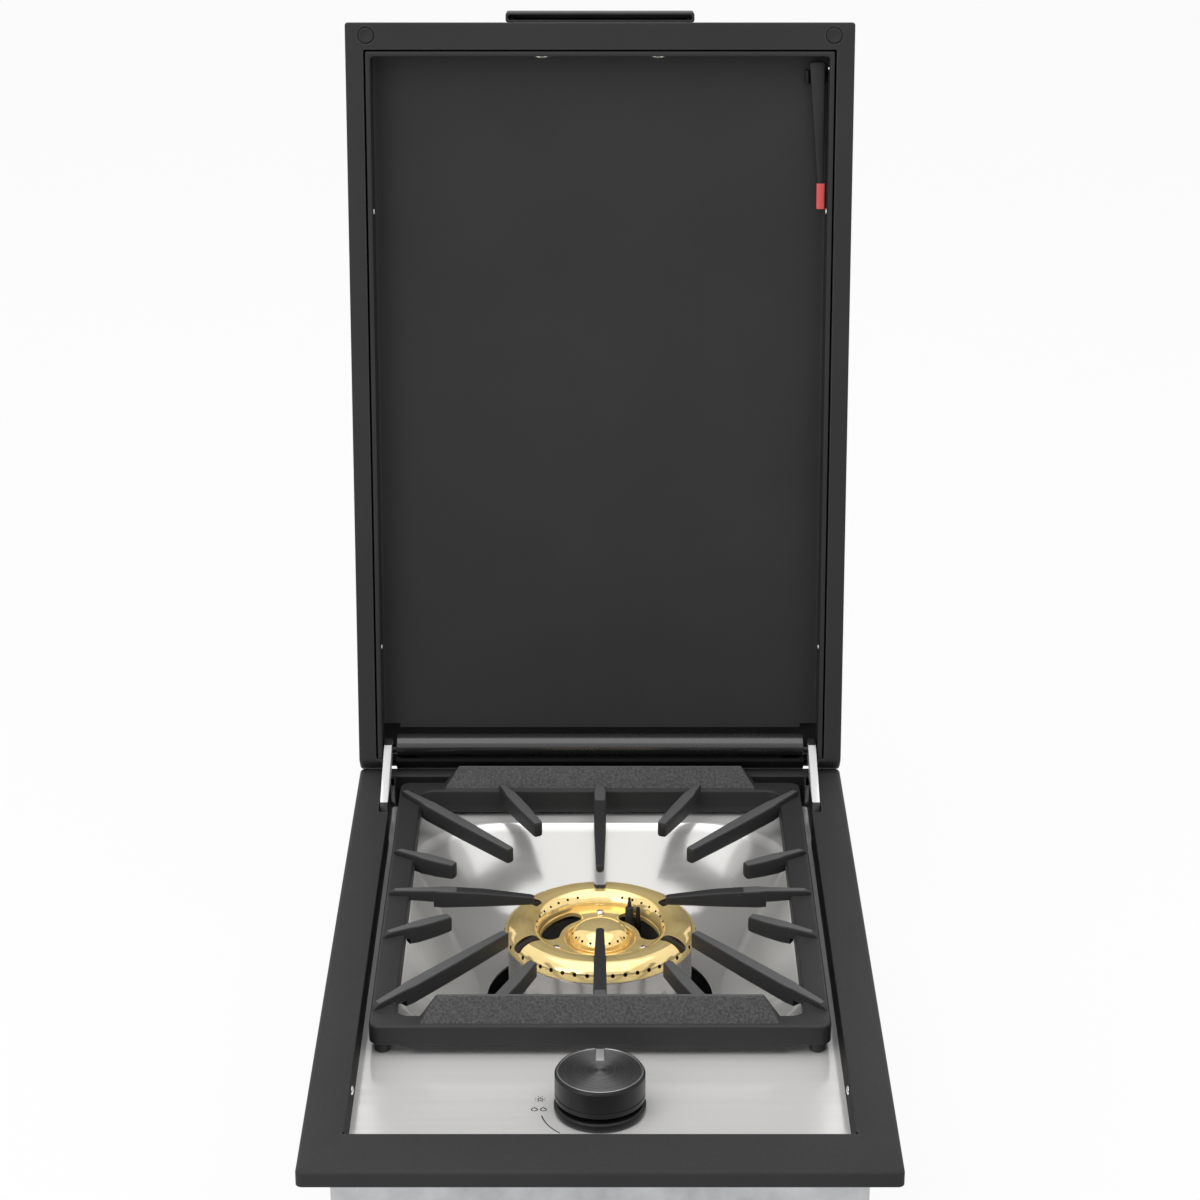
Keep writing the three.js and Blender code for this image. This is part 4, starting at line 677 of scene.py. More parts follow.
# Sockets of a mix node that blends colours
MIX_FROM = 6
MIX_TO = 7
MIX_COLOUR = 2


class Surface:
    """A material on the principled shader, built up from shared effects."""

    def __init__(self, name, colour, metallic, roughness, centre=(0, 0, 0), turn=(0, 0, 0), shine=0.5):
        self.material = bpy.data.materials.new(name)
        self.material.use_nodes = True
        self.tree = self.material.node_tree
        self.shader = self.tree.nodes["Principled BSDF"]
        self.colour = None
        self.plain = (*colour, 1.0)
        self.normal = None
        self.set_plain({"Base Color": self.plain, "Metallic": metallic, "Roughness": roughness,
                        "Specular IOR Level": shine})
        coordinate = self.tree.nodes.new("ShaderNodeTexCoord")
        mapping = self.tree.nodes.new("ShaderNodeMapping")
        mapping.vector_type = "TEXTURE"
        mapping.inputs["Location"].default_value = tuple(Vector(centre) * MM)
        mapping.inputs["Rotation"].default_value = turn
        self.tree.links.new(coordinate.outputs["Object"], mapping.inputs["Vector"])
        self.vector = mapping.outputs["Vector"]

    def set_plain(self, values):
        """Sets sockets of the shader that are the same all over the surface."""
        for label, value in values.items():
            self.shader.inputs[label].default_value = value

    def math(self, operation, a, b=None):
        """A value worked out from sockets or numbers."""
        return math_node(self.tree, operation, a, b)

    def along(self, axis, vector=None):
        """One axis of the surface's place, or of another vector."""
        parts = self.tree.nodes.new("ShaderNodeSeparateXYZ")
        self.tree.links.new(vector or self.vector, parts.inputs[0])
        return parts.outputs[axis]

    def facing(self, axis):
        """One axis of the direction that the surface faces."""
        return self.along(axis, self.tree.nodes.new("ShaderNodeNewGeometry").outputs["Normal"])

    def effect(self, group, values):
        """Places a shared effect and returns its node."""
        node = self.tree.nodes.new("ShaderNodeGroup")
        node.node_tree = group
        self.tree.links.new(self.vector, node.inputs["Vector"])
        for label, value in values.items():
            node.inputs[label].default_value = value
        return node

    def tint(self, mask, colour, low=0.0, high=1.0):
        """Blends a colour in where a mask rises from low to high."""
        mix = self.tree.nodes.new("ShaderNodeMix")
        mix.data_type = "RGBA"
        self.tree.links.new(self.spread(mask, low, high, 0.0, 1.0), mix.inputs[0])
        if self.colour is None:
            mix.inputs[MIX_FROM].default_value = self.plain
        else:
            self.tree.links.new(self.colour, mix.inputs[MIX_FROM])
        mix.inputs[MIX_TO].default_value = (*colour, 1.0)
        self.colour = mix.outputs[MIX_COLOUR]
        self.tree.links.new(self.colour, self.shader.inputs["Base Color"])

    def spread(self, value, low, high, out_low, out_high):
        """Maps a value from one range to another."""
        node = self.tree.nodes.new("ShaderNodeMapRange")
        limits = {"From Min": low, "From Max": high, "To Min": out_low, "To Max": out_high}
        for label, limit in limits.items():
            node.inputs[label].default_value = limit
        self.tree.links.new(value, node.inputs["Value"])
        return node.outputs["Result"]

    def drive(self, socket, value, low, high, out_low, out_high):
        """Drives a socket of the shader by a value."""
        self.tree.links.new(self.spread(value, low, high, out_low, out_high), self.shader.inputs[socket])

    def bump(self, height, strength, distance):
        """Adds relief; the distance is in millimetres."""
        node = self.tree.nodes.new("ShaderNodeBump")
        node.inputs["Strength"].default_value = strength
        node.inputs["Distance"].default_value = distance * MM
        self.tree.links.new(height, node.inputs["Height"])
        if self.normal is not None:
            self.tree.links.new(self.normal, node.inputs["Normal"])
        self.normal = node.outputs["Normal"]
        self.tree.links.new(self.normal, self.shader.inputs["Normal"])

    def finish(self, effect, second, shade, roughness, relief):
        """Second colour, roughness and relief from an effect; each of the three is a pair."""
        self.tint(effect.outputs["Shade"], second, *shade)
        self.drive("Roughness", effect.outputs["Shade"], 0.3, 0.7, *roughness)
        self.bump(effect.outputs["Height"], *relief)
        return self

    def worn(self, colour, amount, reach=0.8):
        """Lightens the edges."""
        wear = self.effect(EDGE_WEAR, {"Amount": amount, "Reach": reach * MM})
        self.tint(wear.outputs["Mask"], colour)

    def dusty(self, colour, amount):
        """Adds settled dust."""
        dust = self.effect(DUST, {"Amount": amount})
        self.tint(dust.outputs["Mask"], colour)


def grained(made, second, shade, roughness, relief, grains, clouds):
    """Gives a surface the grain effect; shade, roughness and relief are pairs."""
    return made.finish(made.effect(GRAIN, {"Grains per metre": grains, "Clouds per metre": clouds}),
                       second, shade, roughness, relief)


def coated(name, colour, clouded, roughness, shine=0.12, wear=0.5):
    """Powder coat or enamel."""
    made = grained(Surface(name, colour, 0.0, roughness, shine=shine), clouded, (0.3, 0.75),
                   (roughness - 0.05, roughness + 0.06), (0.25, 0.05), 1500.0, 9.0)
    if wear:
        made.worn((0.16, 0.16, 0.165), wear)
    made.dusty((0.2, 0.195, 0.19), 0.08)
    return made


def brushed(name, colour, dark, roughness, turn=(0, 0, 0), lines=2500.0, metallic=1.0):
    """Sheet brushed along X before its turn."""
    made = Surface(name, colour, metallic, roughness, turn=turn)
    return made.finish(made.effect(BRUSHING, {"Lines per metre": lines}), dark, (0.35, 0.75),
                       (roughness - 0.03, roughness + 0.05), (0.2, 0.012))


def spun(name, colour, dark, metallic, roughness, centre, grooves=1800.0, relief=0.02, shine=0.5):
    """Turned on a lathe about an upright axis."""
    made = Surface(name, colour, metallic, roughness, centre=centre, shine=shine)
    return made.finish(made.effect(TURNING, {"Grooves per metre": grooves}), dark, (0.35, 0.7),
                       (roughness - 0.04, roughness + 0.06), (0.4, relief))


def plain_metal(name, colour, dark, roughness, grains=900.0):
    """Plated or drawn metal with a faint uneven tone."""
    return grained(Surface(name, colour, 1.0, roughness), dark, (0.35, 0.7),
                   (roughness - 0.04, roughness + 0.08), (0.15, 0.02), grains, 40.0)


def moulded(name, colour, dark, roughness, shine=0.25):
    """Moulded plastic or rubber."""
    return grained(Surface(name, colour, 0.0, roughness, shine=shine), dark, (0.35, 0.75),
                   (roughness - 0.05, roughness + 0.08), (0.2, 0.03), 2600.0, 60.0)


def panel_surface():
    """Brushed sheet, with painted shade that darkens its colour as it falls into the bowl."""
    made = brushed("brushed_panel", (0.97, 0.96, 0.95), (0.90, 0.89, 0.88), 0.13, lines=1500.0, metallic=0.4)
    # painted shade: the colour darkens with depth into the bowl, where shade falls in the recess
    made.tint(made.along("Z"), (0.55, 0.545, 0.53), (panel_top - 0.6) * MM, (panel_top - 5.0) * MM)
    return made


def brass_surface():
    """Polished brass, tarnished here and there by heat."""
    made = spun("burner_brass", (1.0, 0.80, 0.39), (0.95, 0.70, 0.27), 0.55, 0.09, burner, 500.0, 0.002)
    tarnish = made.effect(GRAIN, {"Grains per metre": 160.0, "Clouds per metre": 45.0})
    made.tint(tarnish.outputs["Shade"], (0.76, 0.48, 0.14), 0.55, 0.8)
    return made


def knob_face_surface():
    """Turned metal whose shine is drawn out along its grooves."""
    made = spun("knob_face", (0.34, 0.34, 0.345), (0.24, 0.24, 0.245), 1.0, 0.25, knob_at, 2600.0, 0.006)
    lay = made.tree.nodes.new("ShaderNodeTangent")
    lay.direction_type = "RADIAL"
    lay.axis = "Z"
    made.tree.links.new(lay.outputs["Tangent"], made.shader.inputs["Tangent"])
    made.set_plain({"Anisotropic": 0.93, "Anisotropic Rotation": 0.25})
    return made


def arm_surface():
    """Polished plate, coloured dark and dull at its head above one height and at its foot below another; at
    the foot, in the frame's slot, the dark is painted shade.
    """
    bright_from, bright_to = 10.7, 29.3
    made = Surface("polished_plate", (0.97, 0.97, 0.965), 0.2, 0.12)
    sheen = made.effect(GRAIN, {"Grains per metre": 900.0, "Clouds per metre": 40.0})
    made.tint(sheen.outputs["Shade"], (0.90, 0.90, 0.89), 0.35, 0.7)
    head = made.math("GREATER_THAN", made.along("Z"), bright_to * MM)
    foot = made.math("LESS_THAN", made.along("Z"), bright_from * MM)
    ends = made.math("MAXIMUM", head, foot)
    # dark, dull ends above and below set heights; near and below the frame's top this is painted shade in the
    # slot
    made.tint(ends, (0.02, 0.02, 0.021))
    made.drive("Metallic", ends, 0.0, 1.0, 0.2, 0.0)
    made.drive("Roughness", ends, 0.0, 1.0, 0.12, 0.45)
    return made


def cast_surface():
    """Satin enamel over a casting: pebbled end blocks, and painted light that makes the upward finger tops
    lighter.
    """
    rough_half = 112.5
    made = Surface("cast_iron", (0.030, 0.030, 0.0305), 0.0, 0.46, shine=0.22)
    grained(made, (0.021, 0.021, 0.0215), (0.3, 0.75), (0.40, 0.54), (0.3, 0.06), 1100.0, 18.0)
    # painted light: faces on the finger tops that look up are coloured lighter, as if lit from above
    upward = made.math("GREATER_THAN", made.facing("Z"), 0.9)
    finger_tops = made.math("GREATER_THAN", made.along("Z"), (finger_top - 0.5) * MM)
    made.tint(made.math("MULTIPLY", upward, finger_tops), (0.10, 0.101, 0.103))
    high = made.math("GREATER_THAN", made.along("Z"), block_foot * MM)
    front = made.math("LESS_THAN", made.facing("Y"), -0.35)
    away = made.math("ABSOLUTE", made.math("SUBTRACT", made.along("Y"), burner.y * MM))
    over_rail = made.math("GREATER_THAN", away, (grate_reach - end_rail - 0.5) * MM)
    between_ends = made.math("LESS_THAN", made.math("ABSOLUTE", made.along("X")), rough_half * MM)
    rough_face = made.math("MULTIPLY", made.math("MULTIPLY", high, front),
                           made.math("MULTIPLY", over_rail, between_ends))
    made.tint(rough_face, (0.036, 0.036, 0.036))
    pebbles = made.effect(GRAIN, {"Grains per metre": 700.0, "Clouds per metre": 260.0})
    relief = made.math("MULTIPLY", pebbles.outputs["Height"], rough_face)
    made.tint(relief, (0.082, 0.082, 0.082), 0.38, 0.68)
    made.bump(relief, 0.8, 0.8)
    made.worn((0.11, 0.11, 0.11), 0.6, 1.0)
    made.dusty((0.15, 0.145, 0.14), 0.08)
    return made


powder = coated("powder_coat", (0.034, 0.034, 0.0345), (0.026, 0.026, 0.0265), 0.55)
enamel = coated("lid_enamel", (0.030, 0.030, 0.0305), (0.024, 0.024, 0.0245), 0.52, 0.16, wear=0.0)
handle_coat = coated("handle_coat", (0.032, 0.032, 0.033), (0.024, 0.024, 0.025), 0.45)
tube_coat = coated("tube_coat", (0.013, 0.013, 0.0135), (0.010, 0.010, 0.010), 0.26, 0.8, wear=0.0)
stainless = panel_surface()
cup_steel = spun("cup_steel", (0.50, 0.49, 0.48), (0.38, 0.37, 0.36), 0.85, 0.2, burner, 900.0)
zinc = plain_metal("zinc_sheet", (0.55, 0.56, 0.57), (0.42, 0.43, 0.44), 0.38, 120.0)
alloy = plain_metal("alloy_casting", (0.5, 0.5, 0.51), (0.38, 0.38, 0.39), 0.42, 700.0)
copper = plain_metal("copper_tube", (0.62, 0.30, 0.17), (0.42, 0.19, 0.10), 0.28)
steel_screw = plain_metal("bright_screw", (0.80, 0.79, 0.77), (0.55, 0.54, 0.53), 0.18)
dark_steel = plain_metal("dark_steel", (0.030, 0.030, 0.031), (0.02, 0.02, 0.02), 0.34)
brass = brass_surface()
polished_arm = arm_surface()
knob_dark = spun("knob_side", (0.014, 0.014, 0.0145), (0.010, 0.010, 0.0105), 0.0, 0.34, knob_at, 900.0,
                 shine=0.22)
knob_face = knob_face_surface()
pointer_metal = brushed("pointer_metal", (0.42, 0.42, 0.425), (0.32, 0.32, 0.325), 0.26,
                        turn=(0, 0, math.pi / 2), lines=3500.0, metallic=0.3)
rubber = moulded("rubber", (0.030, 0.030, 0.030), (0.024, 0.024, 0.024), 0.62, 0.15)
black_plastic = moulded("black_plastic", (0.022, 0.022, 0.0225), (0.030, 0.030, 0.031), 0.42, 0.2)
red_plastic = moulded("red_plastic", (0.74, 0.115, 0.115), (0.66, 0.09, 0.09), 0.4, 0.3)
# painted shade: dark brown for the burner's hollows, the grooves and ports of the ring and the ports of the
# cap
painted_hollow_shade = moulded("hollow_shade_brown", (0.030, 0.021, 0.012), (0.016, 0.012, 0.009), 0.5, 0.2)
# painted shade: near-black matte for faces that sit in shade, the opening's inner walls and the lid's inside
# round the hinge
painted_shade_black = moulded("painted_shade_black", (0.012, 0.012, 0.012), (0.009, 0.009, 0.009), 0.6, 0.08)
ink = moulded("panel_print", (0.02, 0.02, 0.02), (0.035, 0.035, 0.035), 0.5)


# ---------------------------------------------------------------------------
# Trim frame, burner box and cooktop panel
# ---------------------------------------------------------------------------

cover_sheet = 1.5
cover_edge = 2.5
cover_corner = 4.0
skirt_sheet = 0.8
opening_corner = 3.0
notch_width = 7.0
notch_length = 72.0
notch_corner = 3.0
skirt_screw_y = opening_front + 62.0
skirt_screw_z = top - 9.0
arm_leg_middle = cover_high.y - 43.0
bolt_places = [arm_leg_middle - 12.0, arm_leg_middle + 12.0]
bolt_hole = 2.8
bolt_z = top - 52.0
skirt_half = opening_half + skirt_sheet
tub_sheet = 1.2
tub_half = 152.8
tub_front = 13.2
tub_rear = 494.0
tub_corner = 4.0
vent_count = 6
vent_step = 48.0
panel_sheet = 1.0
bowl_half = 131.0
bowl_front = 167.5
bowl_rear = 467.5
bowl_corner = 62.0
bowl_hole = 75.0


def inset_rect(margin, radius, z, steps=8):
    """The frame's outline, drawn in by a margin."""
    return rounded_rect(cover_high.x - margin, cover_low.y + margin, cover_high.y - margin, radius, z, steps)


def opening_rect(margin, z, steps=8):
    """The opening's outline, let out by a margin."""
    return rounded_rect(opening_half + margin, opening_front - margin, opening_rear + margin,
                        opening_corner + margin, z, steps)


def build_trim_frame():
    """The raised cover: rounded edge, flat top, skirt, and the notches for the hinge arms."""
    rings = [inset_rect(0, cover_corner, 0)]
    for inset, rise in arc(cover_edge, top - cover_edge, cover_edge, 180, 90, 6):
        rings.append(inset_rect(inset, cover_corner - 0.7 * inset, rise))
    lip = 0.7
    for inset, rise in arc(lip, top - lip, lip, 90, 180, 4):
        rings.append(opening_rect(inset, rise))
    foot = cover_low.z
    rings.append(opening_rect(0, foot))
    rings.append(opening_rect(skirt_sheet, foot))
    rings.append(opening_rect(skirt_sheet, top - cover_sheet))
    rings.append(inset_rect(cover_sheet, cover_corner - cover_sheet, top - cover_sheet))
    rings.append(inset_rect(cover_sheet, cover_corner - cover_sheet, 0))
    made = as_object("trim_cover", loft(rings, closed=True))
    notch_end = opening_half + notch_width
    start = cover_high.y - notch_length
    outline = [(opening_half - 2, start)]
    outline += arc(notch_end - notch_corner, start + notch_corner, notch_corner, -90, 0, 5)
    outline += [(notch_end, opening_rear), (opening_half - 2, opening_rear)]
    notch = slab(outline, foot - 2, top + 2)
    hole = along_x(rod(1.8, 0, 0, -skirt_half - 2, skirt_half + 2), skirt_screw_y, skirt_screw_z)
    relief = rod(1.3, opening_half - 0.4, opening_front + 0.4, foot - 2, top + 2)
    carved(made, [notch, mirrored(notch), hole, relief, mirrored(relief)])
    placed(made, powder, "base", ["trim_frame"], 40)

    # painted shade: the opening's inner walls are coloured near-black where they fall into shade
    def inner_wall(centre, normal):
        inside = abs(centre.x) < opening_half + 0.5 and opening_front - 0.5 < centre.y < opening_rear + 0.5
        return inside and abs(normal.z) < 0.2 and centre.z < top - 0.6

    second_look(made, painted_shade_black, inner_wall)


def round_ended(y0, y1, z0, z1, x0, x1):
    """A slot across the wall, with round ends."""
    radius = (z1 - z0) / 2
    z = (z0 + z1) / 2
    outline = arc(y1 - radius, z, radius, -90, 90, 8) + arc(y0 + radius, z, radius, 90, 270, 8)
    return loft([[(x0, y, h) for y, h in outline], [(x1, y, h) for y, h in outline]])


def build_burner_box():
    """The tub that drops into the counter: flange, bent corners, vents and holes."""
    floor = tub_low.z + tub_sheet
    bend = 3.0

    def tub(margin, z):
        return rounded_rect(tub_half + margin, tub_front - margin, tub_rear + margin, tub_corner, z, 5)

    def flange(z):
        return inset_rect(cover_sheet + GAP, 2.0, z, 5)

    rings = [tub(-inset, rise) for inset, rise in arc(bend, floor + bend, bend, 270, 180, 5)]
    rings += [tub(0, tub_sheet), flange(tub_sheet), flange(0), tub(tub_sheet, 0)]
    rings += [tub(-inset, rise) for inset, rise in arc(bend, floor + bend, bend + tub_sheet, 180, 270, 5)]
    made = as_object("box_tub", loft(rings))
    wall = tub_half + tub_sheet + 2
    vent_z = top - 96.0
    slot = round_ended(-17, 17, vent_z - 3, vent_z + 3, -wall, wall)
    start = (tub_front + tub_rear - (vent_count - 1) * vent_step) / 2
    slot = moved(slot, Matrix.Translation((0, start, 0)))
    carved(made, [row_of(as_object("vents", slot), vent_count, (0, vent_step, 0))])
    carved(made, [along_x(rod(bolt_hole, 0, 0, -wall, wall), y, bolt_z) for y in bolt_places])
    inlet = middle("inlet_fitting")
    carved(made, [along_y(rod(7.3, 0, 0, -6, 6), inlet.x, tub_rear, inlet.z)])
    placed(made, zinc, "base", ["burner_box"], 40)


def build_cooktop_panel():
    """Sheet that falls into a bowl: flat walls joined by cones, and a rolled lip at the hole."""
    steps = 16
    depth = panel_top - panel_sheet - panel_low.z

    def bowl_ring(spread, fall, lift=0.0):
        share = min(max(spread, 0.0), 1.0)
        return rounded_rect(
            bowl_half + (bowl_hole - bowl_half) * share,
            bowl_front + (burner.y - bowl_hole - bowl_front) * share,
            bowl_rear + (burner.y + bowl_hole - bowl_rear) * share,
            bowl_corner + (bowl_hole - bowl_corner) * share,
            panel_top - depth * fall - lift,
            steps,
        )

    spreads = smooth_run([0.0, 0.06, 0.3, 0.6, 0.86, 0.985], 5)
    falls = smooth_run([0.0, 0.035, 0.36, 0.72, 0.94, 1.0], 5)
    rim = opening_rect(skirt_sheet, panel_top, steps)
    face = [rim] + [bowl_ring(s, f) for s, f in zip(spreads, falls)]
    lip = [bowl_ring(1.0, 0.985), bowl_ring(1.0, 1.0, 0.6)]
    back = [bowl_ring(s, f, panel_sheet) for s, f in zip(spreads, falls)]
    under_rim = [(x, y, z - panel_sheet) for x, y, z in rim]
    made = as_object("cooktop_sheet", loft(face + lip + back[::-1] + [under_rim], closed=True))
    carved(made, [rod(12.0, knob_at.x, knob_at.y, panel_top - 4, panel_top + 4, 40)])
    placed(made, stainless, "base", ["cooktop_panel"], 30)


def build_panel_marks():
    """The arc round the knob and three plain flame marks, printed on the sheet."""
    foot, face = panel_top + 0.005, panel_top + 0.04
    ray_at = (knob_at.x - 35.4, knob_at.y + 11.7)
    drop = [(0, -0.5), (0.34, -0.34), (0.4, -0.05), (0.22, 0.2), (0.1, 0.02), (0.02, 0.5),
            (-0.2, 0.2), (-0.38, -0.08), (-0.34, -0.34)]

    def ribbon(points, width):
        left, right = [], []
        for i, (x, y) in enumerate(points):
            x0, y0 = points[max(i - 1, 0)]
            x1, y1 = points[min(i + 1, len(points) - 1)]
            run = math.hypot(x1 - x0, y1 - y0)
            nx, ny = -(y1 - y0) / run * width / 2, (x1 - x0) / run * width / 2
            left.append((x + nx, y + ny))
            right.append((x - nx, y - ny))
        return slab(left + right[::-1], foot, face)

    def flame(x, y, size):
        ring = [(x + u * size, y + v * size) for u, v in drop]
        return ribbon(ring + ring[:2], 0.7)

    shapes = [
        ribbon(arc(knob_at.x, knob_at.y, 35.0, -168.6, -132.0, 20), 0.8),
        flame(knob_at.x - 38.7, knob_at.y + 0.5, 4.6),
        flame(knob_at.x - 33.4, knob_at.y + 0.5, 4.6),
        flame(*ray_at, 3.8),
    ]
    for i in range(8):
        angle = math.radians(22.5 + 45 * i)
        spoke = [(ray_at[0] + r * math.cos(angle), ray_at[1] + r * math.sin(angle)) for r in (2.6, 3.4)]
        shapes.append(ribbon(spoke, 0.6))
    placed(as_object("panel_marks", together(shapes)), ink, "base", ())


# ---------------------------------------------------------------------------
# Pan grate
# ---------------------------------------------------------------------------

rail_top = 6.5
keel_foot = grate_low.z + 3.2
keel_half = 112.0
keel_shoulder = 130.0
rail_foot = keel_foot + 3.7
rail_edge = 1.6
side_rail = 15.5
end_rail = 14.0
block_foot = rail_top + 0.8
block_half = 111.0
ridge_half = 99.5
rear_block_drop = 2.0
finger_top = 11.0
finger_depth = 12.2
tip_depth = 11.0
tip_dip = 5.0
foot_height = 9.0
grate_half = grate_high.x + 1.5
grate_reach = (grate_high.y - grate_low.y) / 2
side_edge = grate_half - rail_edge
end_inner = grate_reach - end_rail
cast = cast_surface()


def build_rails():
    """The outer frame of the casting, with rounded edges."""
    def outer(inset, z):
        return rounded_rect(grate_half - inset, grate_low.y + inset, grate_high.y - inset,
                            7.0 - 0.5 * inset, z, 6)

    def inner(inset, z):
        return rounded_rect(grate_half - side_rail + inset, grate_low.y + end_rail - inset,
                            grate_high.y - end_rail + inset, 9.0 + inset, z, 6)

    edge = rail_edge
    rings = [outer(0.8, rail_foot), outer(0, rail_foot + 0.8)]
    rings += [outer(i, z) for i, z in arc(edge, rail_top - edge, edge, 180, 90, 4)]
    rings += [inner(i, z) for i, z in arc(edge, rail_top - edge, edge, 90, 180, 4)]
    rings += [inner(0, rail_foot + 0.8), inner(0.8, rail_foot)]
    return loft(rings, closed=True)


def finger(rail_point, knee, tip, root_half=4.4, tip_half=2.7, dip=0.0):
    """A finger from its pointed ridge on the rail, past the knee, to a blunt tip that may dip."""
    rail_point, knee, tip = Vector(rail_point), Vector(knee), Vector(tip)
    along = (tip - rail_point).normalized()
    across = Vector((-along.y, along.x))
    length = (tip - rail_point).length
    knee_at = (knee - rail_point).length
    low = finger_top - finger_depth
    tip_low = finger_top - tip_depth
    tip_top = finger_top - dip
    stations = [
        (0.0, 0.5, rail_top + 0.5, rail_top - 2.5),
        (2.0, 1.5, finger_top - 1.6, rail_top - 2.5),
        (5.0, 2.4, finger_top - 0.3, rail_top - 2.5),
        (knee_at - 6.0, root_half - 1.0, finger_top, rail_top - 4.0),
        (knee_at - 5.9, root_half - 0.9, finger_top, low),
        (knee_at, root_half, finger_top, low),
        (knee_at + 0.45 * (length - knee_at), 0.4 * root_half + 0.6 * tip_half + 0.6, finger_top - 0.3 * dip,
         low + 0.45 * (tip_low - low)),
        (length - 2.2, tip_half, tip_top, tip_low),
        (length - 0.7, tip_half - 0.35, tip_top - 0.3, tip_low + 0.3),
        (length, tip_half - 1.2, tip_top - 1.3, tip_low + 1.2),
    ]
    rings = []
    for at, half, high, foot in stations:
        edge = min(1.1, 0.45 * half, 0.4 * (high - foot))
        section = [(-half, foot + edge), (-half + edge, foot), (half - edge, foot), (half, foot + edge)]
        section += arc(half - edge, high - edge, edge, 0, 90, 3)
        section += arc(-half + edge, high - edge, edge, 90, 180, 3)
        centre = rail_point + along * at
        rings.append([
            (centre.x + across.x * u, burner.y + centre.y + across.y * u, z) for u, z in section
        ])
    return loft(rings)


def end_block(front, ridge):
    """A raised block on an end rail, sloping up from the front to its ridge."""
    rear = front + end_rail
    low = oblong(block_half, front + 0.2, rear, rail_top - 2.0)
    high = oblong(ridge_half, rear - 3.0, rear, ridge)
    return bevelled(as_object("block", loft([low, high])), 1.3, 3)


def keel(front):
    """The deeper middle of an end rail, under its block."""
    sides = (front + 0.4, front + end_rail - 0.4)
    low, high = oblong(keel_half, *sides, keel_foot), oblong(keel_shoulder, *sides, rail_foot + 2.0)
    return bevelled(as_object("keel", loft([low, high])), 0.6, 2)


def foot_pad(x, y):
    """A slightly waisted foot under a corner."""
    low = grate_low.z
    profile = [(0, low), (4.3, low), (5.0, low + 0.7), (5.0, low + 2.2), (4.6, low + 4.4)]
    profile += [(5.4, low + foot_height), (0, low + foot_height)]
    return turned(profile, 24, x, y)


def quarter_fingers(sx, sy):
    """The long diagonal, the short one on the side rail and the one on the end rail."""
    runs = (
        ((side_edge, 0.89 * grate_reach), (60, 58), 0.27, 4.5, 3.1),
        ((side_edge, 60), (96.5, 36), 0.5, 4.2, 3.4),
        ((70.5, end_inner + 5), (42, 97), 0.3, 4.2, 3.3),
    )
    found = []
    for root, tip, knee_share, root_half, tip_half in runs:
        root, tip = Vector((sx * root[0], sy * root[1])), Vector((sx * tip[0], sy * tip[1]))
        found.append(finger(root, root.lerp(tip, knee_share), tip, root_half, tip_half))
    return found


def build_grate():
    """Rails, blocks, feet and sixteen fingers in one casting."""
    made = as_object("grate_casting", build_rails())
    front_rail, rear_rail = grate_low.y, grate_high.y - end_rail
    blocks = [end_block(front_rail, grate_high.z), end_block(rear_rail, grate_high.z - rear_block_drop)]
    carved(made, blocks, "UNION")
    carved(made, [keel(front_rail), keel(rear_rail)], "UNION")
    fingers = [
        finger((0, sy * (end_inner + 5)), (0, sy * (end_inner - 8)), (0, sy * 43.5), dip=tip_dip)
        for sy in (1, -1)
    ]
    for sx in (1, -1):
        knee = grate_half - side_rail - 22
        fingers.append(finger((sx * side_edge, 0), (sx * knee, 0), (sx * 43, 0), dip=tip_dip))
        fingers += quarter_fingers(sx, 1) + quarter_fingers(sx, -1)
    carved(made, fingers, "UNION")
    foot_x, foot_y = grate_half - 8, grate_reach - 8
    carved(made, [foot_pad(sx * foot_x, burner.y + sy * foot_y) for sx in (1, -1) for sy in (1, -1)], "UNION")
    placed(made, cast, "grate", ["pan_grate"], 35)


# ---------------------------------------------------------------------------
# Burner
# ---------------------------------------------------------------------------

ring_radius = 51.5
ring_wide = 12.0
ring_tall = 10.0
ring_mid = -22.0
ring_edge = -25.3
ring_oval = (ring_radius, ring_mid, ring_wide, ring_tall)
ring_outer = 62.6
foot_outer = 58.6
foot_inner = 44.0
groove_half = 4.1
web_top = -24.6
web_foot = web_top - 2.5
window_circle = 32.8
screw_circle = 33.0
moat_floor = -28.0
moat_radius = 22.8
moat_sheet = 2.4
cap_top = -13.6
cap_radius = 19.9
cap_bore = 10.1
cup_rim = ring_edge - 0.5
cup_radius = 60.5
cup_wall = 1.2
cup_trough = 43.0
cup_bore = 13.0
inlet_x = -24.0
igniter_at = (burner.x + 19.6, burner.y + 28.8)
probe_at = (burner.x + 25.3, burner.y + 22.7)


def on_oval(angle, x, z, wide, tall):
    """A place on an oval section and the way out of it, as a matrix that turns +Z outwards."""
    turn = math.radians(angle)
    out = math.atan2(math.cos(turn) / wide, math.sin(turn) / tall)
    place = (x + wide * math.cos(turn), 0, z + tall * math.sin(turn))
    return Matrix.Translation(place) @ Matrix.Rotation(out, 4, "Y")


def from_burner(place):
    """How far a place lies from the burner's axis."""
    return math.hypot(place.x - burner.x, place.y - burner.y)


def kidney(angle, radius, half_width, span):
    """A curved slot with round ends, about the burner."""
    reach = span / 2 - math.degrees(half_width / radius)
    outline = arc(burner.x, burner.y, radius + half_width, angle - reach, angle + reach, 16)
    for side, start in ((1, 0), (-1, 180)):
        at = math.radians(angle + side * reach)
        start += math.degrees(at)
        end_x, end_y = burner.x + radius * math.cos(at), burner.y + radius * math.sin(at)
        outline += arc(end_x, end_y, half_width, start, start + 180, 10)[1:-1]
        if side > 0:
            outline += arc(burner.x, burner.y, radius - half_width, angle + reach, angle - reach, 14)
    return outline


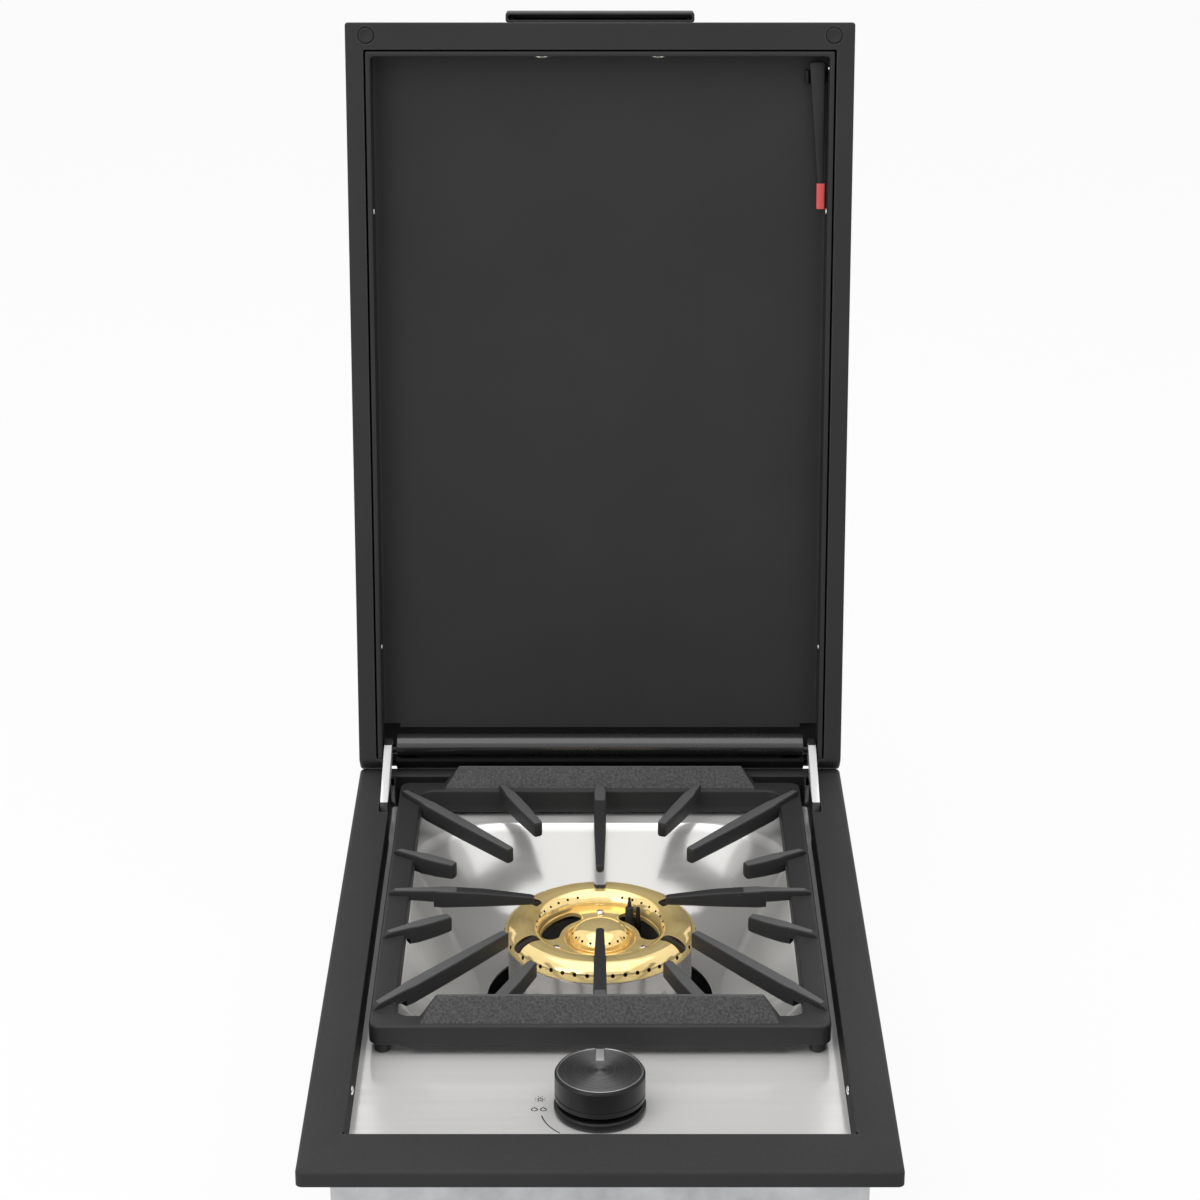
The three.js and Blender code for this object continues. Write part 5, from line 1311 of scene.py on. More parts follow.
def web_section():
    """Section of the web: the moat round the cap, its rounded lip and the step up to the ring."""
    under, lip = moat_floor - moat_sheet, moat_radius + 2.0
    section = [(10.5, under), (lip, under), (lip, web_foot), (41.8, web_foot), (41.8, web_top + 0.9)]
    section += [(39.9, web_top + 0.25), (39.3, web_top), (24.4, web_top), (23.5, web_top - 0.15)]
    section += [(22.95, web_top - 0.6), (moat_radius, web_top - 1.3), (moat_radius, moat_floor)]
    return section + [(10.5, moat_floor)]


def groove_cut():
    """A round-edged trough across the ring, deeper towards the outside."""
    half = groove_half
    ends = []
    for x, floor in ((44.5, -12.4), (66.0, -19.8)):
        side = [(half, -5), (half, floor + 1.6), (half - 0.5, floor + 0.6), (half - 1.6, floor)]
        ends.append([(x, -y, z) for y, z in side] + [(x, y, z) for y, z in reversed(side)])
    return loft(ends)


def build_burner_ring():
    """Brass ring with a web, six grooves, two rows of ports and three curved windows."""
    section = oval(*ring_oval, -12, 200, 52)
    section += [(41.2, -27.4), (foot_inner, ring_low.z), (foot_outer, ring_low.z)]
    section += [(foot_outer, ring_edge - 0.1), (61.4, ring_edge), (ring_outer, ring_edge + 0.4)]
    made = as_object("ring_casting", turned(section, 144, *burner.xy))
    web = as_object("web", turned(web_section(), 120, *burner.xy))
    windows = [kidney(angle, window_circle, 6.4, 74.0) for angle in (30, 150, 270)]
    carved(web, [slab(window, web_foot - 6, web_top + 3) for window in windows])
    carved(made, [web], "UNION")
    carved(made, [round_copies("grooves", groove_cut(), 6, 30, 60, burner_axis)])
    port = moved(rod(1.4, 0, 0, -3.5, 2.5, 10), on_oval(16, *ring_oval))
    for part in range(6):
        carved(made, [round_copies("ports", port, 7, 60 * part + 37.5, 7.5, burner_axis)])
    small = moved(rod(0.95, 0, 0, -3, 2, 8), on_oval(144, *ring_oval))
    carved(made, [round_copies("inner_ports", small, 32, 110.8, 10.27, burner_axis)])
    carved(made, [rod(1.9, *at, web_foot - 6, web_top + 4, 16) for at in screw_places()])
    placed(made, brass, "base", ["burner_ring"], 38)

    # painted shade: faces inside the tube's oval, the grooves' floors and the port bores, are coloured dark
    # brown
    def inside_tube(centre, normal):
        out = (from_burner(centre) - ring_radius) / ring_wide
        up = (centre.z - ring_mid) / ring_tall
        return out * out + up * up < 0.96 and centre.z > ring_edge + 1.5

    second_look(made, painted_hollow_shade, inside_tube)


def screw_places():
    """The three screws of the ring, at 12, 4 and 8 o'clock."""
    turns = [math.radians(angle) for angle in (0, 120, 240)]
    return [(burner.x + screw_circle * math.sin(a), burner.y + screw_circle * math.cos(a)) for a in turns]


def screw_shape(head, height, shank, length, seat, steps=24):
    """A round-head screw standing on its seat, its shank below."""
    profile = [(0, seat - length), (shank, seat - length), (shank, seat), (head - 0.15, seat)]
    profile += oval(0, seat, head, height, 0, 72, 4)
    return turned(profile + [(0, seat + height)], steps)


def cross_recess(size, z0, z1):
    """A cross-shaped cut for the driver."""
    thin = size / 4
    return [block(-size, size, -thin, thin, z0, z1), block(-thin, thin, -size, size, z0, z1)]


def build_ring_screws():
    """Three round-head screws with a cross recess."""
    seat = web_top + 0.1
    made = as_object("ring_screws", screw_shape(3.0, 2.4, 1.6, 9.0, seat))
    carved(made, cross_recess(1.7, seat + 1.1, seat + 4))
    made.data.transform(Matrix.Translation((0, screw_circle * MM, 0)))
    turn_copies(made, 3, 0.0, 120.0, burner_axis, steel_screw)
    placed(made, steel_screw, "base", numbered("ring_screw", 3), 40)


def build_burner_cap():
    """The domed cap in its moat, with a rolled rim and low ports."""
    foot = moat_floor + GAP
    dome_foot = foot + 2.7
    dome = (0, dome_foot, cap_radius, cap_top - dome_foot)
    rim = cap_radius + 0.3
    profile = [(0, cap_low.z), (cap_bore, cap_low.z), (cap_bore, foot), (18.8, foot)]
    profile += [(cap_radius, foot + 0.4), (rim, foot + 1.2), (rim, dome_foot - 0.3)]
    profile += oval(*dome, 0, 90, 14)[:-1] + [(0, cap_top)]
    made = as_object("cap_dome", turned(profile, 96, *burner.xy))
    port = moved(rod(0.95, 0, 0, -2.5, 1.5, 8), on_oval(24, *dome))
    carved(made, [round_copies("cap_ports", port, 18, 10.0, 20.0, burner_axis)])
    placed(made, brass, "base", ["burner_cap"], 40)

    # painted shade: the bores of the cap's ports, inside the dome, are coloured dark brown
    def inside_dome(centre, normal):
        out = from_burner(centre) / cap_radius
        up = max(centre.z - dome_foot, 0.0) / (cap_top - dome_foot)
        return out * out + up * up < 0.95 and centre.z > dome_foot - 0.5

    second_look(made, painted_hollow_shade, inside_dome)


def build_burner_cup():
    """The spun steel cup with a rolled lip, its trough and its bore."""
    wall, radius, trough, bore = cup_wall, cup_radius, cup_trough, cup_bore
    low, high = cup_low.z, cup_rim
    floor = low + wall
    trough_top = ring_low.z - 1.1
    boss_top = web_foot - GAP
    bore_top = cap_low.z - GAP
    profile = [(radius - 3, low), (radius - 0.9, low + 0.9), (radius, low + 3), (radius, high - 1.0)]
    profile += [(radius - 0.4, high - 0.25), (radius - wall / 2 - 0.2, high), (radius - wall, high - 0.5)]
    profile += [(radius - wall, floor + 2), (radius - wall - 2, floor), (trough + wall, floor)]
    profile += [(trough + wall, trough_top), (trough, trough_top), (trough, floor), (bore + wall, floor)]
    profile += [(bore + wall, bore_top), (bore, bore_top), (bore, low)]
    made = as_object("cup_spinning", turned(profile, 96, *burner.xy))
    post = [(1.9, low), (3.2, low), (3.2, boss_top), (1.9, boss_top)]
    carved(made, [turned(post, 20, *at) for at in screw_places()], "UNION")
    carved(made, [slab(kidney(angle, 33.0, 5.5, 60.0), low - 2, floor + 2) for angle in (150, 270)])
    inlet_at = (inlet_x, burner.y - math.sqrt(((radius + trough) / 2) ** 2 - inlet_x ** 2))
    for at, room, steps in ((igniter_at, 3.1, 20), (probe_at, 2.3, 20), (inlet_at, 7.1, 28)):
        carved(made, [rod(room, *at, low - 2, floor + 2, steps)])
    placed(made, cup_steel, "base", ["burner_cup"], 35)


def build_probes():
    """The igniter in its insulator and the slimmer flame probe, both blackened by heat."""
    low = box_mm("igniter")[0].z
    tip, shoulder, body = -10.4, -18.5, 2.8
    profile = [(0, low), (1.6, low), (1.6, low + 5), (body, low + 5), (body, shoulder)]
    profile += [(body - 0.5, shoulder + 0.8), (1.4, shoulder + 1.4), (1.3, shoulder + 4.5)]
    profile += [(0.9, shoulder + 5), (0.9, tip - 0.6), (0.5, tip), (0, tip)]
    made = as_object("igniter_rod", turned(profile, 24, *igniter_at))
    placed(made, black_plastic, "base", ["igniter"])
    low = box_mm("thermocouple")[0].z
    tip = -14.4
    profile = [(0, low), (2.0, low), (2.0, tip - 9), (1.5, tip - 8), (1.5, tip - 1.5)]
    profile += [(1.1, tip - 0.4), (0.5, tip), (0, tip)]
    made = as_object("flame_probe", turned(profile, 24, *probe_at))
    placed(made, dark_steel, "base", ["thermocouple"])


# ---------------------------------------------------------------------------
# Knob
# ---------------------------------------------------------------------------

knob_face_z = knob_high.z
knob_foot = knob_face_z - 18.0
knob_radius = knob_high.x + 0.5
face_radius = 25.2
spring_wire = 0.6
spring_end = 0.7


def build_knob():
    """The knob: straight side, chamfered rim, spun face, a hub below and a slot for the pointer."""
    hub, bore = 11.0, 3.3
    face, foot, side, grip = knob_face_z, knob_foot, knob_radius, knob_radius - 0.5
    bore_top = face - 9 + GAP
    profile = [(bore, knob_low.z), (hub, knob_low.z), (hub, foot), (side - 0.7, foot), (side, foot + 0.7)]
    profile += [(side, foot + 3.2), (grip, foot + 3.5), (grip, foot + 4.2), (side, foot + 4.5)]
    profile += [(side, face - 2.1), (side - 0.35, face - 1.5), (face_radius + 0.3, face - 0.15)]
    profile += [(face_radius, face), (face_radius - 0.7, face), (face_radius - 0.9, face - 0.25)]
    profile += [(0, face - 0.25), (0, bore_top), (bore, bore_top)]
    made = as_object("knob_body", turned(profile, 128, *knob_at.xy))
    low, high = box_mm("knob_pointer")
    carved(made, [block(low.x - GAP, high.x + GAP, low.y - GAP, high.y + 4, low.z - GAP, face + 2)])
    placed(made, knob_dark, "knob", ["control_knob"], 30)

    def on_face(centre, normal):
        reach = math.hypot(centre.x - knob_at.x, centre.y - knob_at.y)
        return normal.z > 0.2 and centre.z > face - 1.2 and reach < face_radius + 0.2

    second_look(made, knob_face, on_face)
    pointer = block(low.x, high.x, low.y, high.y - 0.4, low.z, face)
    made = bevelled(as_object("pointer_inlay", pointer), 0.25, 2)
    placed(made, pointer_metal, "knob", ["knob_pointer"])


def build_bezel():
    """The ring under the knob: rounded foot and a thin upper lip."""
    low, high = bezel_low.z, bezel_high.z
    radius, bend, hole = bezel_high.x + 0.8, 1.6, 12.0
    profile = [(hole, low), (radius - bend, low), *arc(radius - bend, low + bend, bend, -90, 0, 5)]
    profile += [(radius, high - 1.4), (radius - 0.25, high - 1.0), (radius - 0.9, high - 0.2)]
    profile += [(radius - 1.4, high), (radius - 2.4, high), (radius - 3.0, high - 0.8)]
    profile += [(hole + 2.0, high - 0.8), (hole + 1.4, high - 0.4), (hole, high - 0.4)]
    made = as_object("bezel_ring", turned(profile, 128, *knob_at.xy))
    placed(made, knob_dark, "base", ["knob_bezel"], 35)


def build_valve_spring():
    """The spring under the retainer, built at its rest length, though the knob's push shortens the real one.
    """
    low, high = box_mm("valve_spring")
    length = high.z - low.z
    foot = Vector((knob_at.x, knob_at.y, low.z))
    made = grown(as_object("spring_wire", block(0, 1, 0, 1, 0, 1)), COIL, {
        "Radius": 5.6 * MM,
        "Wire": spring_wire * MM,
        "Turns": 4.0,
        "Height": (length - 2 * spring_end) * MM,
        "Foot": tuple((foot + Vector((0, 0, spring_end))) * MM),
        "Material": steel_screw.material,
    })
    placed(made, steel_screw, "base", ["valve_spring"], 60)
    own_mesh(made)


# ---------------------------------------------------------------------------
# Lid, written as closed and measured from the hinge axis
# ---------------------------------------------------------------------------

rim_z = 2.0 - (pivot.z - top)
lid_top = rim_z + 34.0
lid_rear = 10.1
lid_front = lid_rear - 520.4
lid_half = cover_high.x
lid_sheet = 1.5
window_half = lid_half - 12.0
window_front = lid_front + 19.0
window_rear = lid_rear - 6.4
liner_half = window_half - 1.2
liner_inner = liner_half - 3.3
liner_front = window_front + 1.2
liner_inner_front = liner_front + 3.3
liner_face = rim_z + 22.0
liner_end = lid_rear - 23.3
liner_rear = lid_rear - lid_sheet - GAP
liner_sheet = 1.0
liner_notch_half = 142.0
lid_crown = 3.0
lid_corner = 2.0
rear_drop = 5.6
front_draft = 3.2
return_top = rim_z + 15.0
pad_room = 6.1
handle_half = 63.0
tube_outer = 8.0
tube_bore = 6.5
tube_shift = -3.3
pin_hole = 3.3
arm_head = 8.0
front_screw_x = 39.0


def build_lid_shell():
    """The outer skin, its flat rim and the inner return round the liner."""
    crisp = 1.0
    heights = (3.0, 5.0, 6.5, 8.0, 10.0, 12.5, 16.0)
    inner_top = lid_top - lid_sheet

    def rear_reach(z):
        """The rear wall clears the frame at the rim and drops behind it further out."""
        share = min(max((z - rim_z - 5.0) / 11.0, 0.0), 1.0)
        return lid_rear + rear_drop * math.sin(share * math.pi / 2) - max(rim_z + 5.0 - z, 0.0) * 0.9

    def skin(margin, z, lean=0.0):
        inset = margin + lean
        front = lid_front + 1.0 + inset + front_draft * (z - rim_z) / (lid_top - rim_z)
        corner = max(lid_corner - margin - 0.4 * lean, 0.5)
        return rounded_rect(lid_half - inset, front, rear_reach(z) - margin, corner, z, 6)

    def return_wall(margin, z):
        return rounded_rect(window_half + margin, window_front - margin, window_rear - 1.7 + margin,
                            1.0 + margin, z, 6)

    outside = [return_wall(0, return_top), return_wall(0, rim_z + 0.4), return_wall(0.4, rim_z)]
    outside += [skin(0, z, lean) for lean, z in arc(crisp, rim_z + crisp, crisp, 270, 180, 4)]
    outside += [skin(0, rim_z + height) for height in heights]
    outside += [skin(0, z, lean) for lean, z in arc(lid_crown, lid_top - lid_crown, lid_crown, 180, 90, 6)]
    inside = [skin(lid_sheet, inner_top, 1.0), skin(lid_sheet, inner_top - 1.0)]
    inside += [skin(lid_sheet, rim_z + height) for height in reversed(heights)]
    inside += [skin(lid_sheet, rim_z + lid_sheet)]
    inside += [return_wall(1.2, rim_z + lid_sheet), return_wall(1.2, return_top)]
    made = as_object("lid_skin", loft(inside + outside))
    tube_end = tube_high.x + GAP
    past = arm_high.x + 1.3
    notch = block(tube_end, past, window_rear - 2, lid_rear + 2, rim_z - 2, 9.3)
    rear_gap = block(-window_half, window_half, -14, window_rear, rim_z - 2, return_top + 1)
    edge_notch = block(tube_end, past, lid_rear - 0.5, lid_rear + rear_drop + 2, rim_z + 4.0, 10.5)
    carved(made, [rear_gap, notch, mirrored(notch), edge_notch, mirrored(edge_notch)])
    for x, y in bumper_places():
        stem = rod(2.5, x, y, rim_z - 2, rim_z + 3, 16)
        carved(made, [stem, rod(pad_room, x, y, rim_z - 2, rim_z + 1.2, 48)])
    placed(made, powder, "lid", ["lid_shell"], 40)

    # painted shade: the inside of the skin round the hinge, seen through the gap under the tube, is coloured
    # near-black
    def round_hinge(centre, normal):
        near = abs(centre.x) < tube_end and centre.y > -15.0
        return near and centre.z < lid_top - lid_crown and normal.z < 0.5

    open_up(second_look(made, painted_shade_black, round_hinge))


def bumper_places():
    """The two bumpers near the lid's front corners."""
    return [(side * (lid_half - 14.0), lid_front + 9.5) for side in (1, -1)]


def build_lid_liner():
    """A shallow pressed tray with a lip, open at the hinge."""
    sheet, bend, past = liner_sheet, 1.8, 40.0
    hem = rim_z + 6.0

    def tray(margin, z):
        corner = max(2.5 + margin, 0.4)
        return rounded_rect(liner_inner + margin, liner_inner_front - margin, past, corner, z, 5)

    def lip(margin, z):
        return rounded_rect(liner_half - margin, liner_front + margin, past, 1.2, z, 5)

    rings = [tray(-i, z) for i, z in arc(bend, liner_face - bend, bend, 90, 180, 5)]
    rings += [tray(0, rim_z + 0.8), tray(0.25, rim_z + 0.25), tray(0.8, rim_z)]
    rings += [lip(0.8, rim_z), lip(0.25, rim_z + 0.25), lip(0, rim_z + 0.8), lip(0, hem)]
    rings += [lip(sheet, hem), lip(sheet, rim_z + sheet), tray(sheet, rim_z + sheet)]
    rings += [tray(-i, z) for i, z in arc(bend, liner_face - bend, bend + sheet, 180, 90, 5)]
    made = as_object("lid_tray", loft(rings))
    wide = liner_half + 2
    low, high = rim_z - 2, lid_top
    notch = block(liner_notch_half, liner_inner + 0.1, liner_end - 3, past, low, high)
    carved(made, [
        block(-wide, wide, liner_rear, past + 2, low, high),
        block(-liner_inner, liner_inner, liner_end, past, low, high),
        notch,
        mirrored(notch),
        block(-wide, wide, window_rear - 0.5, past, low, rim_z + 6),
        along_x(rod(pin_hole, 0, 0, -wide, wide), 0, 0),
    ])
    back_half = liner_notch_half - 0.1
    back_top = lid_top - lid_sheet - GAP
    back = block(-back_half, back_half, liner_end - sheet, liner_end - 0.02, liner_face + 0.05, back_top)
    carved(made, [back], "UNION")
    placed(open_up(made), enamel, "lid", ["lid_liner"], 35)


def build_lid_handle():
    """The channel across the lid's front edge."""
    back = lid_front + 1.4
    front = back - 6.4
    low = rim_z + 5.0
    high = low + 20.0
    wall, crisp = 1.4, 0.5

    def outer(inset, z):
        return rounded_rect(handle_half - inset, front + inset, back - inset, 1.6 - 0.5 * inset, z, 5)

    def inner(inset, z):
        drawn = wall - inset
        return rounded_rect(handle_half - drawn, front + drawn, back - drawn, 1.8 + inset, z, 5)

    rings = [inner(-1.2, high - wall), inner(-0.35, high - wall - 0.35), inner(0, high - wall - 1.2)]
    rings += [inner(0, low + 0.5), inner(0.5, low)]
    rings += [outer(i, z) for i, z in arc(crisp, low + crisp, crisp, 270, 180, 3)]
    rings += [outer(i, z) for i, z in arc(crisp, high - crisp, crisp, 180, 90, 3)]
    made = as_object("handle_channel", loft(rings))
    stud = rod(1.0, 0, 0, -1, lid_sheet + 4.0, 12)
    stud_x = handle_half - 4.0
    carved(made, [along_y(stud, x, lid_front, low + 10.0) for x in (-stud_x, stud_x)], "UNION")
    placed(open_up(made), handle_coat, "lid", ["lid_handle"], 35)


def build_bumpers():
    """Two round rubber bumpers with a shallow dish."""
    radius = pad_room - 0.95
    face, base, stem, end = rim_z - 0.9, rim_z + 1.1, 2.2, rim_z + 4
    profile = [(0, face + 0.25), (3.6, face + 0.25), (4.0, face), (radius - 0.6, face)]
    profile += [(radius - 0.18, face + 0.18), (radius, face + 0.6), (radius, base)]
    profile += [(stem, base), (stem, end), (0, end)]
    for at, side in zip(bumper_places(), ("right", "left")):
        made = as_object("bumper_pad_" + side, turned(profile, 40, *at))
        placed(open_up(made), rubber, "lid", ["bumper_" + side], 40)


def build_liner_screws():
    """The four screws of the tray's long walls, two on its front wall, and the clip's rivet."""
    look = steel_screw
    low_y, high_y = lid_rear - 86.4, lid_front + 128.0
    screw = screw_shape(2.6, 1.1, 1.3, 4.0, 0.0, 20)
    for word, shape in both_sides(facing_inward(screw, liner_inner - GAP, low_y, rim_z + 8.0)):
        made = row_of(as_object("tray_screws_" + word, shape), 2, (0, high_y - low_y, 0), look)
        placed(open_up(made), look, "lid", numbered("liner_screw_" + word, 2), 40)
    screw = screw_shape(6.8, 2.2, 1.2, 1.0, 0.0, 24)
    front = along_y(screw, -front_screw_x, liner_inner_front, rim_z + 7.2)
    made = row_of(as_object("tray_front_screws", front), 2, (2 * front_screw_x, 0, 0), look)
    placed(open_up(made), look, "lid", (), 40)
    rivet = screw_shape(1.6, 0.9, 1.0, 0.6, 0.0, 20)
    rivet = facing_inward(rivet, liner_inner, lid_front + 32.0, rim_z + 9.0)
    placed(as_object("clip_rivet", rivet, OPEN_LID), look, "lid", (), 40)


def build_hinge():
    """The tube and its two pins."""
    half, skin, hole = tube_high.x, tube_outer, tube_bore
    profile = [(hole, -half), (skin - 0.4, -half), (skin, -half + 0.4), (skin, half - 0.4)]
    profile += [(skin - 0.4, half), (hole, half)]
    made = as_object("tube_bar", along_x(turned(profile, 64), tube_shift, 0), OPEN_LID)
    placed(made, tube_coat, "lid", ["hinge_tube"], 40)
    end = half - GAP
    wall = liner_inner + liner_sheet + GAP
    pin = [(0, end - 14), (5.4, end - 14), (6.0, end - 13.4), (6.0, end), (3.0, end)]
    pin += [(3.0, wall), (4.3, wall), (4.6, wall + 0.3), (4.3, wall + 0.9), (0, wall + 0.9)]
    for word, shape in both_sides(along_x(turned(pin, 32), 0, 0)):
        made = as_object("pin_" + word, shape, OPEN_LID)
        placed(made, dark_steel, "lid", ["pivot_pin_" + word], 40)


def build_arms():
    """Plates from the legs in the box up to the pins, with rounded heads."""
    x0, x1 = arm_low.x, arm_high.x
    front, foot = arm_low.y, arm_low.z
    rear = front + 42.0
    shoulder = top - arm_head
    lean = math.degrees(math.atan2(pivot.z - top, pivot.y - front))
    outline = [(front, foot), (rear, foot), (rear, shoulder), (opening_rear - GAP - arm_head / 2, top)]
    outline += arc(pivot.y, pivot.z, arm_head, -112, 90 + lean, 24)
    outline += [(front + arm_head / 2, top), (front, shoulder)]
    plate = loft([[(x, y, z) for y, z in outline] for x in (x0, x1)])
    holes = [along_x(rod(pin_hole, 0, 0, x0 - 2, x1 + 2), pivot.y, pivot.z)]
    holes += [along_x(rod(bolt_hole, 0, 0, x0 - 2, x1 + 2), y, bolt_z) for y in bolt_places]
    for word, shape in both_sides(plate):
        made = bevelled(as_object("arm_plate_" + word, shape), 0.5, 2, 50)
        carved(made, holes if word == "right" else [mirrored(hole) for hole in holes])
        placed(made, polished_arm, "base", ["hinge_arm_" + word], 35)


def hexagon(flat_half):
    """A hexagon by half its width over flats."""
    return arc(0, 0, flat_half / math.cos(math.radians(30)), 0, 300, 5)


def build_bolts():
    """Round-head bolts through the arms, each with its nut outside the box."""
    low, high = box_mm("arm_bolt_right_1")
    head_in = arm_low.x - GAP
    nut_in = high.x - 3.4
    shank, head = 2.5, 4.6
    profile = [(0, low.x), (head - 1.0, low.x), (head - 0.3, low.x + 0.5), (head, low.x + 1.2)]
    profile += [(head, head_in), (shank, head_in), (shank, nut_in + 0.1), (shank, high.x), (0, high.x)]
    bolt = along_x(turned(profile, 24), bolt_places[0], bolt_z)
    nut = along_x(slab(hexagon(4.0), nut_in, high.x - 0.4), bolt_places[0], bolt_z)
    step = (0, bolt_places[1] - bolt_places[0], 0)
    for (word, body), (_, ring) in zip(both_sides(bolt), both_sides(nut)):
        made = carved(as_object("arm_bolts_" + word, body), [ring], "UNION")
        row_of(made, 2, step, zinc)
        placed(made, zinc, "base", numbered("arm_bolt_" + word, 2), 40)


def build_skirt_screws():
    """The two bright screws inside the frame near the front."""
    head_at = box_mm("skirt_screw_right")[0].x + 1.2
    screw = screw_shape(3.0, 1.2, 1.5, 4.0, 0.0)
    for word, shape in both_sides(facing_inward(screw, head_at, skirt_screw_y, skirt_screw_z)):
        made = as_object("side_screw_" + word, shape)
        placed(made, steel_screw, "base", ["skirt_screw_" + word], 40)


# ---------------------------------------------------------------------------
# Lighting stick
# ---------------------------------------------------------------------------

stick_outer = liner_inner - 2.2
stick_top = lid_front + 28.0
stick_low = stick_top + 81.5
stick_z = rim_z + 12.0
stick_thick = 3.0
stick_wide = 10.5
tip_wide = 5.5
tip_tall = 4.6
tip_long = 17.5


def build_stick():
    """The tapered blade, its red tip and the clip that holds it."""
    end = stick_low + 6.0
    outer = stick_outer
    outline = [(outer - stick_wide, stick_top + 1.2), (outer - 9.4, stick_top), (outer - 1.2, stick_top)]
    outline += [(outer, stick_top + 1.2), (outer, end), (outer - 3.4, end)]
    blade = as_object("stick_blade", slab(outline, stick_z, stick_z + stick_thick), OPEN_LID)
    bevelled(blade, 0.6, 2, 30)
    placed(blade, black_plastic, "stick", ["lighting_stick"], 40)
    mid_x, mid_z = outer - 1.7, stick_z + stick_thick / 2
    tip = block(mid_x - tip_wide / 2, mid_x + tip_wide / 2, stick_low, stick_low + tip_long,
                mid_z - tip_tall / 2, mid_z + tip_tall / 2)
    made = bevelled(as_object("stick_end", tip), 0.7, 3)
    carved(made, [block(outer - 4.0, outer + GAP, stick_low - 2, end + GAP,
                        stick_z - GAP, stick_z + stick_thick + GAP)])
    placed(open_up(made), red_plastic, "stick", ["stick_tip"], 40)
    clip = refined("stick_clip", 0.15)
    clip.name = "clip_sheet"
    placed(clip, dark_steel, "lid", ["stick_clip"], 40)


# ---------------------------------------------------------------------------
# Gas way and sheet parts in the box
# ---------------------------------------------------------------------------

def build_fitting():
    """The hexagon and threaded stub at the box's rear wall."""
    low, high = box_mm("inlet_fitting")
    at = middle("inlet_fitting")
    hex_end = low.y + 13.0
    bore, core, crest = 3.5, 6.3, 7.0
    flat = 11.0 * math.cos(math.radians(30))
    made = as_object("fitting_hexagon", along_y(slab(hexagon(flat), low.y, hex_end), at.x, 0, at.z))
    bevelled(made, 0.7, 2)
    outline = [(bore, low.y), (6.9, low.y), (6.9, hex_end - 1), (crest, hex_end), (6.2, hex_end + 1.5)]
    ridge = hex_end + 4.0
    while ridge < high.y - 1.6:
        outline += [(core, ridge), (crest, ridge + 0.55)]
        ridge += 1.25
    outline += [(core, high.y - 0.7), (core - 0.3, high.y), (bore, high.y)]
    carved(made, [along_y(turned(outline, 48), at.x, 0, at.z)], "UNION")
    carved(made, [along_y(rod(bore, 0, 0, low.y - 2, high.y + 2), at.x, 0, at.z)])
    placed(made, alloy, "base", ["inlet_fitting"], 30)


def build_sheet_parts():
    """Rails, brackets and the jet plate with softly bent edges, and two small housings."""
    plates = ("panel_rail_right", "panel_rail_left", "burner_bracket_right", "burner_bracket_left",
              "valve_bracket", "jet_plate")
    looks = [(node, zinc, "zinc_plate") for node in plates]
    looks += [("ignition_module", black_plastic, "black_plastic"), ("gas_valve", alloy, "alloy")]
    for node, look, slot in looks:
        placed(refined(node, 0.25), look, "base", [node], 40)


def dress_solids():
    """Surfaces for the solids that show as they are."""
    looks = {
        "main_venturi": alloy, "simmer_venturi": alloy, "main_jet": brass, "simmer_jet": brass,
        "main_gas_tube": copper, "simmer_gas_tube": copper, "inlet_pipe": alloy,
        "igniter_lead": black_plastic, "thermocouple_lead": copper,
        "valve_stem": steel_screw, "spring_retainer": zinc,
    }
    for node, look in looks.items():
        solid = frame["nodes"][node]
        if not solid.material_slots:
            solid.data.materials.append(None)
        for slot in solid.material_slots:
            slot.material = look.material


# ---------------------------------------------------------------------------
# Floor, light and camera
# ---------------------------------------------------------------------------

def rays_seen(tree):
    """One for rays from the camera, in reflections and through glass, and zero for lighting."""
    rays = tree.nodes.new("ShaderNodeLightPath").outputs
    seen = math_node(tree, "MAXIMUM", rays["Is Camera Ray"], rays["Is Glossy Ray"])
    return math_node(tree, "MAXIMUM", seen, rays["Is Transmission Ray"])


def mixed_shader(tree, share, first, second, output):
    """Connects a mix of two shaders to a tree's output."""
    mix = tree.nodes.new("ShaderNodeMixShader")
    for place, value in enumerate((share, first, second)):
        tree.links.new(value, mix.inputs[place])
    tree.links.new(mix.outputs[0], tree.nodes[output].inputs["Surface"])


